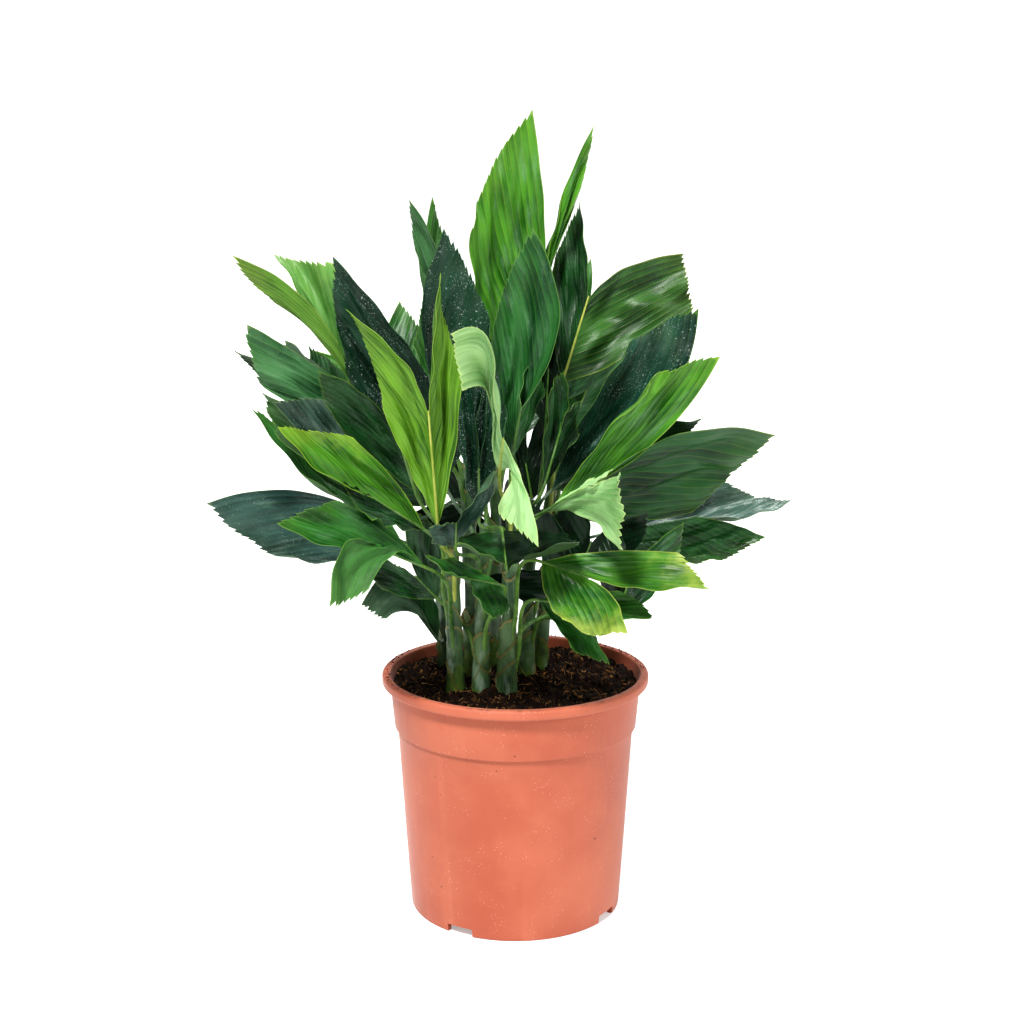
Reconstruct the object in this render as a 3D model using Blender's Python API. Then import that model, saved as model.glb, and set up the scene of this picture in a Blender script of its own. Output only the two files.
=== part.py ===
# A potted palm with two-lobed leaves on eight slim canes, in a plain plastic grower's pot.
# Lengths are written in millimetres and become metres when a mesh is made.
# The origin is on the ground at the axis of the pot, +Z is up and -Y is the front of the plant.

import math

import bpy
import numpy as np

MM = 0.001
GAP = 0.3

POT_HEIGHT = 155.0
FOOT_RADIUS = 66.8
FOOT_RING_INNER = 63.4
FOOT_RECESS = 5.5
WALL_FOOT_RADIUS = 67.9
SHOULDER_HEIGHT = 120.0
SHOULDER_RADIUS = 75.3
SHOULDER_STEP = 2.1
COLLAR_TOP = 148.0
COLLAR_RADIUS = 79.6
LIP_RADIUS = 85.0
LIP_INNER = 79.5
WALL = 1.7
POT_SIDES = 48

NOTCH_WIDTH = 18.0
NOTCH_COUNT = 4
FIRST_NOTCH = -121.0
DRAIN_RADIUS = 4.5
DRAIN_CIRCLE = 48.0
FIRST_DRAIN = -76.0

SOIL_TOP = 147.0
SOIL_BUMP = 1.6
CANE_BURIED = 26.0
CANE_SIDES = 12
CANE_TAPER = 0.75

LEAF_THICK = 1.0
PETIOLE_RADIUS = 1.9
FOOT_GAP = 0.26
RIB_WIDTH = 1.2
RIB_HEIGHT = 1.4
VEIN_STEPS = 5
ACROSS_STEPS = 3
PETIOLE_RINGS = 6

# Each cane's middle at soil level, its top, and its radius at soil level
SOIL_LEVEL = 140.0
CANES = {
    "cane_front_left": ((-37, -17, SOIL_LEVEL), (-40, -20, 252), 6.0),
    "cane_front_middle": ((-22, -17, SOIL_LEVEL), (-19, -16, 255), 5.6),
    "cane_front_right": ((-6, -19, SOIL_LEVEL), (-2, -24, 262), 6.4),
    "cane_middle_right": ((7, 12, SOIL_LEVEL), (10, 14, 265), 5.0),
    "cane_back_right": ((16, 30, SOIL_LEVEL), (24, 36, 285), 4.8),
    "cane_back_left": ((-45, 32, SOIL_LEVEL), (-52, 34, 260), 5.0),
    "cane_back_middle": ((-14, 34, SOIL_LEVEL), (-12, 42, 300), 5.4),
    "cane_middle_left": ((-28, 10, SOIL_LEVEL), (-30, 12, 300), 5.4),
}

# Colour, roughness and metallic value of each finish
FINISHES = {
    "pot_plastic": ((0.78, 0.20, 0.11), 0.6, 0.0),
    "potting_soil": ((0.035, 0.022, 0.014), 0.95, 0.0),
    "cane_sheath": ((0.22, 0.30, 0.12), 0.5, 0.0),
    "leaf_green": ((0.07, 0.22, 0.03), 0.35, 0.0),
    "leaf_dark": ((0.01, 0.06, 0.02), 0.32, 0.0),
    "leaf_dusty": ((0.02, 0.06, 0.05), 0.38, 0.0),
    "leaf_silver": ((0.16, 0.26, 0.20), 0.3, 0.0),
    "leaf_lime": ((0.20, 0.42, 0.05), 0.4, 0.0),
    "leaf_striped": ((0.26, 0.48, 0.06), 0.4, 0.0),
}


for old in list(bpy.data.objects):
    bpy.data.objects.remove(old, do_unlink=True)


def vec(*numbers):
    return np.array(numbers, dtype=float)


def unit(v):
    return v / max(np.linalg.norm(v), 1e-9)


def turned_about(v, axis, degrees):
    axis = unit(axis)
    a = math.radians(degrees)
    along = axis * np.dot(axis, v) * (1 - math.cos(a))
    return v * math.cos(a) + np.cross(axis, v) * math.sin(a) + along


def material(name, finish):
    colour, roughness, metallic = FINISHES[finish]
    made = bpy.data.materials.new(name)
    made.use_nodes = True
    shader = made.node_tree.nodes["Principled BSDF"]
    shader.inputs["Base Color"].default_value = (*colour, 1.0)
    shader.inputs["Roughness"].default_value = roughness
    shader.inputs["Metallic"].default_value = metallic
    return made


def add_object(name, points, faces, finish):
    mesh = bpy.data.meshes.new(name)
    mesh.from_pydata([tuple(float(c) * MM for c in p) for p in points], [], faces)
    mesh.shade_smooth()
    mesh.set_sharp_from_angle(angle=math.radians(35))
    mesh.materials.append(material(name, finish))
    made = bpy.data.objects.new(name, mesh)
    bpy.context.collection.objects.link(made)
    return made


def cut(target, cutter):
    cutter.hide_render = True
    cutter.display_type = "WIRE"
    boolean = target.modifiers.new(cutter.name, "BOOLEAN")
    boolean.operation = "DIFFERENCE"
    boolean.solver = "EXACT"
    boolean.object = cutter


def turned(profile, sides):
    """A body turned about Z from an outline that starts and ends on the axis, bottom to top."""
    points = []
    rings = []
    for radius, z in profile:
        if radius == 0:
            rings.append([len(points)])
            points.append(vec(0, 0, z))
            continue
        first = len(points)
        for i in range(sides):
            a = 2 * math.pi * i / sides
            points.append(vec(radius * math.cos(a), radius * math.sin(a), z))
        rings.append(list(range(first, first + sides)))
    faces = []
    for low, high in zip(rings, rings[1:]):
        for i in range(sides):
            j = (i + 1) % sides
            if len(low) == 1:
                faces.append([low[0], high[j], high[i]])
            elif len(high) == 1:
                faces.append([low[i], low[j], high[0]])
            else:
                faces.append([low[i], low[j], high[j], high[i]])
    return points, faces


def pot_outline():
    """The thermoformed pot: recessed floor, foot ring, plain wall, shoulder, collar and rolled lip."""
    lip_low = POT_HEIGHT - 6.5
    inner_foot = WALL_FOOT_RADIUS - WALL
    inner_shoulder = SHOULDER_RADIUS - WALL
    return [
        (0, FOOT_RECESS),
        (FOOT_RING_INNER, FOOT_RECESS),
        (FOOT_RING_INNER + 0.6, 0),
        (FOOT_RADIUS - 0.5, 0),
        (WALL_FOOT_RADIUS, 2),
        (SHOULDER_RADIUS, SHOULDER_HEIGHT),
        (SHOULDER_RADIUS + SHOULDER_STEP, SHOULDER_HEIGHT + 1),
        (COLLAR_RADIUS, COLLAR_TOP),
        (LIP_RADIUS - 0.9, lip_low),
        (LIP_RADIUS, lip_low + 1.5),
        (LIP_RADIUS, POT_HEIGHT - 1.5),
        (LIP_RADIUS - 1.0, POT_HEIGHT),
        (LIP_INNER + 1.0, POT_HEIGHT),
        (LIP_INNER, POT_HEIGHT - 1.0),
        (COLLAR_RADIUS - 1.0, COLLAR_TOP),
        (SHOULDER_RADIUS + SHOULDER_STEP - 1.5, SHOULDER_HEIGHT + 1),
        (inner_shoulder, SHOULDER_HEIGHT - 2),
        (inner_foot, FOOT_RECESS + 2),
        (0, FOOT_RECESS + 2),
    ]


def box_points(low, high):
    return [vec(x, y, z) for z in (low[2], high[2]) for y in (low[1], high[1]) for x in (low[0], high[0])]


BOX_FACES = [
    [0, 2, 3, 1],
    [4, 5, 7, 6],
    [0, 1, 5, 4],
    [1, 3, 7, 5],
    [3, 2, 6, 7],
    [2, 0, 4, 6],
]


def make_pot():
    pot = add_object("grower_pot", *turned(pot_outline(), POT_SIDES), "pot_plastic")
    half = NOTCH_WIDTH / 2
    for i in range(NOTCH_COUNT):
        corners = box_points((FOOT_RING_INNER - 4, -half, -1), (WALL_FOOT_RADIUS + 4, half, FOOT_RECESS))
        notch = add_object("foot_notch_cutter_%d" % i, corners, BOX_FACES, "pot_plastic")
        notch.rotation_euler.z = math.radians(FIRST_NOTCH + 90 * i)
        cut(pot, notch)
        a = math.radians(FIRST_DRAIN + 90 * i)
        middle = vec(DRAIN_CIRCLE * math.cos(a), DRAIN_CIRCLE * math.sin(a), 0)
        bottom = [(0, 0), (DRAIN_RADIUS, 0), (DRAIN_RADIUS, 12), (0, 12)]
        points, faces = turned(bottom, 16)
        cut(pot, add_object("drain_cutter_%d" % i, [p + middle for p in points], faces, "pot_plastic"))


def soil_height(x, y):
    """Loose mix with low lumps, heaped a little at the back left and along the right side."""
    lumps = math.sin(0.13 * x + 0.8) * math.cos(0.17 * y) + 0.5 * math.sin(0.31 * x - 0.27 * y)
    heap_left = 3.0 * math.exp(-((x + 62) ** 2 + (y - 20) ** 2) / 500)
    heap_right = 2.4 * math.exp(-((x - 30) ** 2 + (y - 58) ** 2) / 700)
    return SOIL_TOP + SOIL_BUMP * lumps + heap_left + heap_right


def make_soil():
    wall_foot = WALL_FOOT_RADIUS - WALL - GAP
    step_low = SHOULDER_RADIUS - WALL - GAP
    step_high = SHOULDER_RADIUS + SHOULDER_STEP - 1.5 - GAP
    top_radius = COLLAR_RADIUS - 1.0 - 2 * GAP
    outline = [
        (0, FOOT_RECESS + 2 + GAP),
        (wall_foot, FOOT_RECESS + 2 + GAP),
        (step_low, SHOULDER_HEIGHT - 2),
        (step_high, SHOULDER_HEIGHT + 1 + GAP),
        (top_radius, SOIL_TOP),
        (66, SOIL_TOP),
        (52, SOIL_TOP),
        (38, SOIL_TOP),
        (24, SOIL_TOP),
        (10, SOIL_TOP),
        (0, SOIL_TOP),
    ]
    points, faces = turned(outline, POT_SIDES)
    for p in points:
        if p[2] == SOIL_TOP:
            p[2] = min(soil_height(p[0], p[1]), POT_HEIGHT - 4)
    soil = add_object("potting_soil", points, faces, "potting_soil")
    for name, (low, high, radius) in CANES.items():
        hole = cane_tube(low, high, radius + GAP + 0.1, CANE_BURIED + GAP, 0)
        cut(soil, add_object(name + "_hole_cutter", *hole, "potting_soil"))


def cane_tube(low, high, radius, buried, tip):
    """A tapering round stem: buried below soil level, with a short cone at each end."""
    low, high = vec(*low), vec(*high)
    rise = unit(high - low)
    side = unit(np.cross(rise, vec(0, 1, 0)))
    other = np.cross(rise, side)
    bottom = low - rise * buried
    rings = [(bottom, radius * 0.6), (bottom + rise * 4, radius), (low, radius)]
    rings += [(high - rise * tip, radius * CANE_TAPER), (high, radius * CANE_TAPER * 0.5)]
    points = []
    for middle, r in rings:
        for i in range(CANE_SIDES):
            a = 2 * math.pi * i / CANE_SIDES
            points.append(middle + r * (side * math.cos(a) + other * math.sin(a)))
    faces = [list(reversed(range(CANE_SIDES)))]
    for k in range(len(rings) - 1):
        for i in range(CANE_SIDES):
            j = (i + 1) % CANE_SIDES
            a, b = k * CANE_SIDES, (k + 1) * CANE_SIDES
            faces.append([a + i, a + j, b + j, b + i])
    last = (len(rings) - 1) * CANE_SIDES
    faces.append([last + i for i in range(CANE_SIDES)])
    return points, faces


def make_canes():
    for name, (low, high, radius) in CANES.items():
        add_object(name, *cane_tube(low, high, radius, CANE_BURIED, 5), "cane_sheath")


def curve2(a, handle, b, t):
    t = np.asarray(t, dtype=float)[..., None]
    return (1 - t) ** 2 * a + 2 * t * (1 - t) * handle + t * t * b


def curve3(a, leave, arrive, b, t):
    t = np.asarray(t, dtype=float)[..., None]
    return (1 - t) ** 3 * a + 3 * t * (1 - t) ** 2 * leave + 3 * t * t * (1 - t) * arrive + t ** 3 * b


def lobe(tip, width, along=0.6, shoulder=None, inner=None, end=0.1, belly=0.95, cup=None, roll=0.0,
         bend=(0, 0, 0), peak=0.5):
    """One lobe of a leaf, from the midrib to its toothed end.

    tip is the inner point of the toothed end. The end runs from there to the shoulder, which is
    given, or lies at a fraction along the lobe and width out from it. inner and belly swell the two
    long edges, end swells the toothed end, cup hollows the lobe, roll turns it about its length, and
    bend lifts it by a vector that is greatest at peak.
    """
    return dict(tip=vec(*tip), width=width, along=along, shoulder=shoulder, inner=inner, end=end,
                belly=belly, cup=cup, roll=roll, bend=vec(*bend), peak=peak)


def leaf_facing(base, lobes, faces, towards):
    if faces is not None:
        return unit(vec(*faces))
    normal = unit(np.cross(lobes[0]["tip"] - base, lobes[1]["tip"] - base))
    if np.dot(normal, vec(*towards)) < 0:
        normal = -normal
    return normal


def lobe_sheet(base, fork, this, other, facing):
    """The lobe's middle surface: rows from midrib to end, columns from fork edge to base edge."""
    tip, width = this["tip"], this["width"]
    length_way = unit(tip - base)
    length = np.linalg.norm(tip - base)
    out = unit(np.cross(length_way, facing))
    if np.dot(out, tip - other["tip"]) < 0:
        out = -out
    turn = 1 if np.dot(np.cross(length_way, out), facing) > 0 else -1
    out = turned_about(out, length_way, this["roll"] * turn)
    if this["shoulder"] is None:
        shoulder = base + this["along"] * (tip - base) + width * out
        outer_middle = shoulder - width * out
    else:
        shoulder = vec(*this["shoulder"])
        outer_middle = shoulder
    outer_handle = base + 0.38 * (outer_middle - base) + this["belly"] * width * out
    inner = 0.06 * length if this["inner"] is None else this["inner"]
    inner_handle = (fork + tip) / 2 - out * 2 * inner
    end_way = unit(0.2 * (tip - base) + 0.5 * length * out)
    end_handle = (tip + shoulder) / 2 + this["end"] * np.linalg.norm(tip - shoulder) * end_way

    along = np.linspace(0, 1, VEIN_STEPS + 1)
    across = np.linspace(0, 1, ACROSS_STEPS + 1)
    rib = fork + across[:, None] * (base - fork)
    end = curve2(tip, end_handle, shoulder, across)
    inner_edge = curve2(fork, inner_handle, tip, along)
    outer_edge = curve2(base, outer_handle, shoulder, along)
    u, v = along[:, None, None], across[None, :, None]
    sheet = (1 - u) * rib + u * end + (1 - v) * inner_edge[:, None] + v * outer_edge[:, None]
    sheet = sheet - (1 - u) * (1 - v) * fork - (1 - u) * v * base - u * (1 - v) * tip - u * v * shoulder

    hollow = unit(np.cross(length_way, out))
    if np.dot(hollow, facing) < 0:
        hollow = -hollow
    peak = this["peak"]
    power = peak / (1 - peak)
    rise = u ** power * (1 - u) / (peak ** power * (1 - peak))
    cup = 0.05 * length if this["cup"] is None else this["cup"]
    sheet = sheet + this["bend"] * rise
    sheet = sheet - hollow * cup * 4 * v * (1 - v) * np.minimum(1, 2.5 * u)
    rib_side = unit(np.cross(unit(fork - base), facing))
    if np.dot(rib_side, tip - other["tip"]) < 0:
        rib_side = -rib_side
    return sheet + rib_side * RIB_WIDTH * (1 - u) ** 3


def rib_middles(foot, rise, base, fork):
    """Points up the petiole from the cane to the blade, then along the midrib to the fork."""
    length = np.linalg.norm(base - foot)
    leave = foot + unit(rise) * 0.35 * length
    arrive = base - unit(fork - base) * 0.35 * length
    stalk = list(curve3(foot, leave, arrive, base, np.linspace(0, 1, PETIOLE_RINGS)))
    return stalk + [base + (k / ACROSS_STEPS) * (fork - base) for k in range(1, ACROSS_STEPS + 1)]


def leaf_mesh(foot, rise, base, fork, lobes, facing):
    """A petiole and midrib of six sides, with a thin lobe growing from each side of the midrib."""
    middles = rib_middles(foot, rise, base, fork)
    count = len(middles)
    first_blade = PETIOLE_RINGS - 1
    ways = []
    for k in range(count):
        if k >= first_blade:
            ways.append(unit(fork - base))
        else:
            ways.append(unit(middles[k + 1] - middles[max(k - 1, 0)]))
    uppers = [None] * count
    for k in reversed(range(count)):
        upper = facing if k >= first_blade else uppers[k + 1]
        uppers[k] = unit(upper - ways[k] * np.dot(upper, ways[k]))

    points = []
    faces = []
    rings = []
    for k, middle in enumerate(middles):
        right = unit(np.cross(ways[k], uppers[k]))
        f = min(k / first_blade, 1)
        wide = PETIOLE_RADIUS * (1 - f) + RIB_WIDTH * f
        high = PETIOLE_RADIUS * (1 - f) + RIB_HEIGHT * f
        if k > first_blade:
            high *= 1 - 0.35 * (k - first_blade) / ACROSS_STEPS
        edge = 0.5 * PETIOLE_RADIUS * (1 - f) + 0.5 * LEAF_THICK * f
        rings.append(list(range(len(points), len(points) + 6)))
        points.append(middle + uppers[k] * high)
        points.append(middle + right * wide + uppers[k] * edge)
        points.append(middle + right * wide - uppers[k] * edge)
        points.append(middle - uppers[k] * high)
        points.append(middle - right * wide - uppers[k] * edge)
        points.append(middle - right * wide + uppers[k] * edge)
    faces.append(rings[0][::-1])
    for k in range(count - 1):
        low, up = rings[k], rings[k + 1]
        for i in range(6):
            if k >= first_blade and i in (1, 4):
                continue
            j = (i + 1) % 6
            faces.append([low[i], low[j], up[j], up[i]])
    faces.append(rings[-1])

    side = np.cross(unit(fork - base), facing)
    right_lobe = 0 if np.dot(side, lobes[0]["tip"] - lobes[1]["tip"]) > 0 else 1
    for n in (0, 1):
        is_right = n == right_lobe
        corners = (1, 2) if is_right else (5, 4)
        sheet = lobe_sheet(base, fork, lobes[n], lobes[1 - n], facing)
        add_lobe(points, faces, rings[first_blade:], sheet, facing, corners, is_right)
    return points, faces


def add_lobe(points, faces, rib_rings, sheet, facing, corners, is_right):
    """Give the lobe's sheet its thickness and join its inner row to the side of the midrib."""
    normals = np.cross(np.gradient(sheet, axis=0), np.gradient(sheet, axis=1))
    normals = normals / np.maximum(np.linalg.norm(normals, axis=2, keepdims=True), 1e-9)
    if np.dot(normals[1].mean(axis=0), facing) < 0:
        normals = -normals
    top = np.zeros(sheet.shape[:2], int)
    under = np.zeros(sheet.shape[:2], int)
    for j in range(ACROSS_STEPS + 1):
        ring = rib_rings[ACROSS_STEPS - j]
        top[0, j] = ring[corners[0]]
        under[0, j] = ring[corners[1]]
        for i in range(1, VEIN_STEPS + 1):
            top[i, j] = len(points)
            points.append(sheet[i, j] + normals[i, j] * LEAF_THICK / 2)
            under[i, j] = len(points)
            points.append(sheet[i, j] - normals[i, j] * LEAF_THICK / 2)
    made = []
    last = ACROSS_STEPS
    for i in range(VEIN_STEPS):
        for j in range(ACROSS_STEPS):
            made.append([top[i, j], top[i + 1, j], top[i + 1, j + 1], top[i, j + 1]])
            made.append([under[i, j], under[i, j + 1], under[i + 1, j + 1], under[i + 1, j]])
        made.append([top[i, 0], under[i, 0], under[i + 1, 0], top[i + 1, 0]])
        made.append([top[i + 1, last], under[i + 1, last], under[i, last], top[i, last]])
    for j in range(ACROSS_STEPS):
        made.append([top[-1, j], under[-1, j], under[-1, j + 1], top[-1, j + 1]])
    for face in made:
        face = [int(n) for n in face]
        faces.append(face[::-1] if is_right else face)


def leaf(name, cane, height, azimuth, base, fork, left, right, finish, faces=None,
         towards=(0, -1, 0.35)):
    """A leaf: its petiole leaves the cane at a height and azimuth, and the blade runs base to fork.

    faces sets the way the blade faces. Otherwise it lies in the plane of its base and its two tips,
    and faces the side that towards is on.
    """
    low, high, radius = CANES[cane]
    low, high = vec(*low), vec(*high)
    share = (height - low[2]) / (high[2] - low[2])
    a = math.radians(azimuth)
    out = vec(math.cos(a), math.sin(a), 0)
    cane_radius = radius * (1 - (1 - CANE_TAPER) * share)
    foot = low + (high - low) * share + out * (cane_radius + PETIOLE_RADIUS + FOOT_GAP)
    rise = unit(high - low) + 0.12 * out
    base, fork = vec(*base), vec(*fork)
    lobes = (left, right)
    facing = leaf_facing(base, lobes, faces, towards)
    points, mesh_faces = leaf_mesh(foot, rise, base, fork, lobes, facing)
    add_object(name, points, mesh_faces, finish)


def make_leaves():
    # Front of the crown, from the left round to the right
    leaf("leaf_front_striped", "cane_front_left", 222, -75, (-45, -88, 269), (-49, -101, 336),
         lobe((-94, -109, 393), 2, along=0.5, inner=8, end=-0.12),
         lobe((-41, -96, 413), 12, along=0.62, inner=1, end=-0.04), "leaf_striped")
    leaf("leaf_front_left_lime", "cane_front_left", 206, -155, (-54, -70, 262), (-80, -86, 283),
         lobe((-131, -112, 330), 20, along=0.62),
         lobe((-98, -96, 295), 9, inner=1), "leaf_lime")
    leaf("leaf_front_left_drooping", "cane_front_left", 190, -105, (-54, -72, 240), (-78, -88, 254),
         lobe((-132, -127, 278), 24, along=0.62),
         lobe((-105, -131, 231), 1, inner=5, bend=(-2, 0, 15)), "leaf_green")
    leaf("leaf_front_small_grey", "cane_front_middle", 222, -105, (-35, -81, 255), (-34, -96, 271),
         lobe((-47, -122, 274), 6),
         lobe((-9, -109, 303), 8, along=0.7), "leaf_silver")
    leaf("leaf_front_low_small", "cane_front_middle", 185, -70, (-9, -49, 223), (-27, -70, 232),
         lobe((-52, -88, 251), 6, inner=3),
         lobe((-14, -81, 212), 11, along=0.5, inner=5), "leaf_green")
    leaf("leaf_front_cupped", "cane_front_middle", 210, -70, (-8, -55, 258), (-5, -104, 245),
         lobe((35, -120, 268), 15, inner=8),
         lobe((-32, -127, 268), 10, inner=6), "leaf_dark", towards=(0, -0.6, 0.8))
    leaf("leaf_front_curled", "cane_front_right", 250, -95, (-9, -91, 301), (-7, -104, 321),
         lobe((-34, -146, 383), 6, inner=3, bend=(9, 0, 14), peak=0.72),
         lobe((14, -135, 267), 14, shoulder=(-10, -140, 289), inner=3, belly=-1.5, cup=0),
         "leaf_lime", faces=(-0.35, -0.9, 0.1))
    leaf("leaf_front_right_hanging", "cane_front_right", 246, -60, (17, -81, 275), (36, -104, 292),
         lobe((60, -126, 306), 14, shoulder=(59, -146, 263), inner=0, belly=-0.6, cup=1, end=0.04),
         lobe((56, -82, 300), 4, inner=1, cup=1), "leaf_lime", faces=(-0.6, -0.3, 0.7))
    leaf("leaf_low_right_yellowing", "cane_front_right", 195, -50, (16, -78, 244), (41, -99, 240),
         lobe((107, -138, 245), 20, along=0.74, inner=6),
         lobe((60, -146, 221), 19, along=0.6, inner=6), "leaf_lime")
    leaf("leaf_low_right_small", "cane_front_right", 168, -15, (15, -62, 217), (32, -78, 218),
         lobe((77, -112, 222), 11, along=0.7, inner=6),
         lobe((52, -112, 192), 6), "leaf_green")
    # Left side
    leaf("leaf_left_long_grey", "cane_middle_left", 240, -155, (-72, -10, 242), (-105, -20, 268),
         lobe((-183, -58, 275), 25, along=0.5, inner=9),
         lobe((-162, -6, 326), 15), "leaf_silver")
    leaf("leaf_low_left_small", "cane_back_left", 165, -100, (-50, 10, 172), (-66, 4, 196),
         lobe((-97, -13, 201), 3, along=0.7, inner=7, cup=0, bend=(0, 0, 13)),
         lobe((-76, 16, 222), 14, inner=6, cup=1), "leaf_silver")
    leaf("leaf_left_dark", "cane_front_left", 240, -120, (-60, -55, 283), (-71, -65, 323),
         lobe((-112, -88, 357), 10, along=0.68, inner=5),
         lobe((-71, -73, 355), 6), "leaf_dark")
    leaf("leaf_left_silvery", "cane_middle_left", 258, -125, (-67, -39, 264), (-100, -40, 284),
         lobe((-153, -22, 338), 16, along=0.8),
         lobe((-140, -68, 337), 20, shoulder=(-106, -64, 335), inner=1, belly=0.3), "leaf_silver",
         faces=(-0.2, -1, 0.25))
    leaf("leaf_left_rippled", "cane_middle_left", 285, -160, (-75, -18, 307), (-100, -26, 340),
         lobe((-155, -58, 381), 20, shoulder=(-142, -58, 341), belly=0.5, inner=3),
         lobe((-140, -8, 367), 12, along=0.8), "leaf_silver")
    leaf("leaf_upper_left_folded", "cane_middle_left", 270, -140, (-97, -44, 340), (-104, -44, 368),
         lobe((-163, -58, 420), 1, along=0.5, inner=8, bend=(3, 0, 6)),
         lobe((-144, -22, 420), 22, shoulder=(-107, -38, 416), inner=2, belly=0.3, end=0.14),
         "leaf_lime")
    leaf("leaf_back_left_narrow", "cane_back_left", 235, -150, (-73, 21, 281), (-116, 15, 327),
         lobe((-178, 13, 358), -5, inner=3),
         lobe((-130, 29, 360), 12), "leaf_dark")
    # Middle of the crown
    leaf("leaf_middle_left_dusty", "cane_front_middle", 240, -150, (-43, -29, 284), (-51, -49, 350),
         lobe((-105, -62, 420), 23, along=0.56, inner=2),
         lobe((-40, -58, 435), 26), "leaf_dusty")
    leaf("leaf_upper_left_twisted", "cane_back_middle", 285, -160, (-47, 5, 309), (-39, 5, 365),
         lobe((-64, -6, 451), -8, inner=9),
         lobe((-28, 8, 405), 6), "leaf_silver")
    leaf("leaf_middle_tall", "cane_front_right", 232, 80, (-2, -29, 299), (3, -46, 329),
         lobe((9, -32, 435), 17, along=0.5, inner=20),
         lobe((15, -20, 365), 8), "leaf_green", faces=(0.1, -1, 0.1))
    leaf("leaf_middle_narrow", "cane_front_right", 250, -130, (-22, -46, 262), (-22, -49, 294),
         lobe((-26, -58, 371), 10),
         lobe((-11, -55, 360), 8), "leaf_dusty")
    leaf("leaf_middle_right_short", "cane_middle_right", 240, -160, (18, -23, 280), (27, -34, 315),
         lobe((28, -39, 351), 6, along=0.85),
         lobe((40, -31, 333), 5), "leaf_dusty")
    leaf("leaf_top", "cane_middle_right", 256, -155, (-2, 8, 345), (19, 5, 413),
         lobe((10, 0, 504), 33, along=0.52, inner=2),
         lobe((48, 16, 495), -1, along=0.4, inner=4, belly=0.1, cup=2, roll=40), "leaf_green")
    leaf("leaf_upper_right_broad", "cane_back_right", 265, -80, (29, 0, 340), (45, 10, 391),
         lobe((39, 26, 449), 10, inner=2),
         lobe((104, 16, 417), 25, along=0.82, inner=8), "leaf_green")
    leaf("leaf_inner_left", "cane_front_middle", 240, 80, (-20, 27, 293), (-20, 32, 324),
         lobe((-32, 27, 377), 11),
         lobe((-15, 34, 388), 10), "leaf_dark")
    leaf("leaf_inner_right", "cane_middle_right", 250, 40, (19, 21, 307), (21, 29, 344),
         lobe((9, 32, 394), 10),
         lobe((30, 40, 406), 10), "leaf_dark")
    leaf("leaf_inner_back", "cane_middle_right", 252, 100, (11, 40, 258), (7, 44, 280),
         lobe((-1, 57, 324), 12),
         lobe((23, 52, 321), 12), "leaf_dark")
    # Low inside the crown, dark and half hidden
    leaf("leaf_low_inner_left", "cane_front_middle", 173, 150, (-49, -11, 205), (-62, -15, 220),
         lobe((-66, -28, 267), 13),
         lobe((-100, -14, 234), 12), "leaf_dark", faces=(-0.5, -1, 0.2))
    leaf("leaf_low_inner_middle", "cane_front_right", 182, 15, (42, -10, 208), (24, -10, 220),
         lobe((5, -20, 269), 11),
         lobe((-19, -3, 217), 11), "leaf_dark", faces=(-0.5, -1, 0))
    leaf("leaf_low_inner_right", "cane_middle_right", 195, -15, (42, -11, 226), (47, -15, 242),
         lobe((80, -35, 264), 15),
         lobe((34, -11, 277), 15), "leaf_dark", faces=(-0.5, -1, 0.1))
    leaf("leaf_low_outer_right", "cane_middle_right", 178, -40, (62, -53, 203), (68, -45, 223),
         lobe((102, -36, 259), 11),
         lobe((59, -23, 262), 11), "leaf_dark", faces=(-0.3, -1, 0.2))
    leaf("leaf_inner_back_left", "cane_middle_left", 194, 45, (-22, 21, 252), (-37, 21, 259),
         lobe((-58, 20, 292), 13),
         lobe((-72, 19, 250), 13), "leaf_dark", faces=(-0.3, -1, 0.1))
    leaf("leaf_inner_back_low", "cane_back_right", 193, 135, (-13, 53, 219), (-15, 50, 234),
         lobe((-4, 50, 269), 14),
         lobe((-35, 40, 257), 14), "leaf_dark", faces=(0.3, -1, 0.1))
    # Right side
    leaf("leaf_right_dusty", "cane_middle_right", 225, -60, (23, -10, 274), (60, -10, 302),
         lobe((110, -20, 387), 19, along=0.65, inner=17),
         lobe((119, 5, 315), 14, along=0.75), "leaf_dusty")
    leaf("leaf_right_bright", "cane_front_right", 240, 35, (25, -32, 269), (46, -42, 282),
         lobe((119, -58, 362), 17, along=0.65, inner=11),
         lobe((160, -13, 308), 42, inner=23, end=0.2), "leaf_lime")
    leaf("leaf_right_rippled", "cane_back_right", 205, -45, (53, 0, 243), (116, 19, 251),
         lobe((182, 52, 257), 25, along=0.72),
         lobe((161, 21, 237), 17, along=0.5, inner=3), "leaf_silver")
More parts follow.
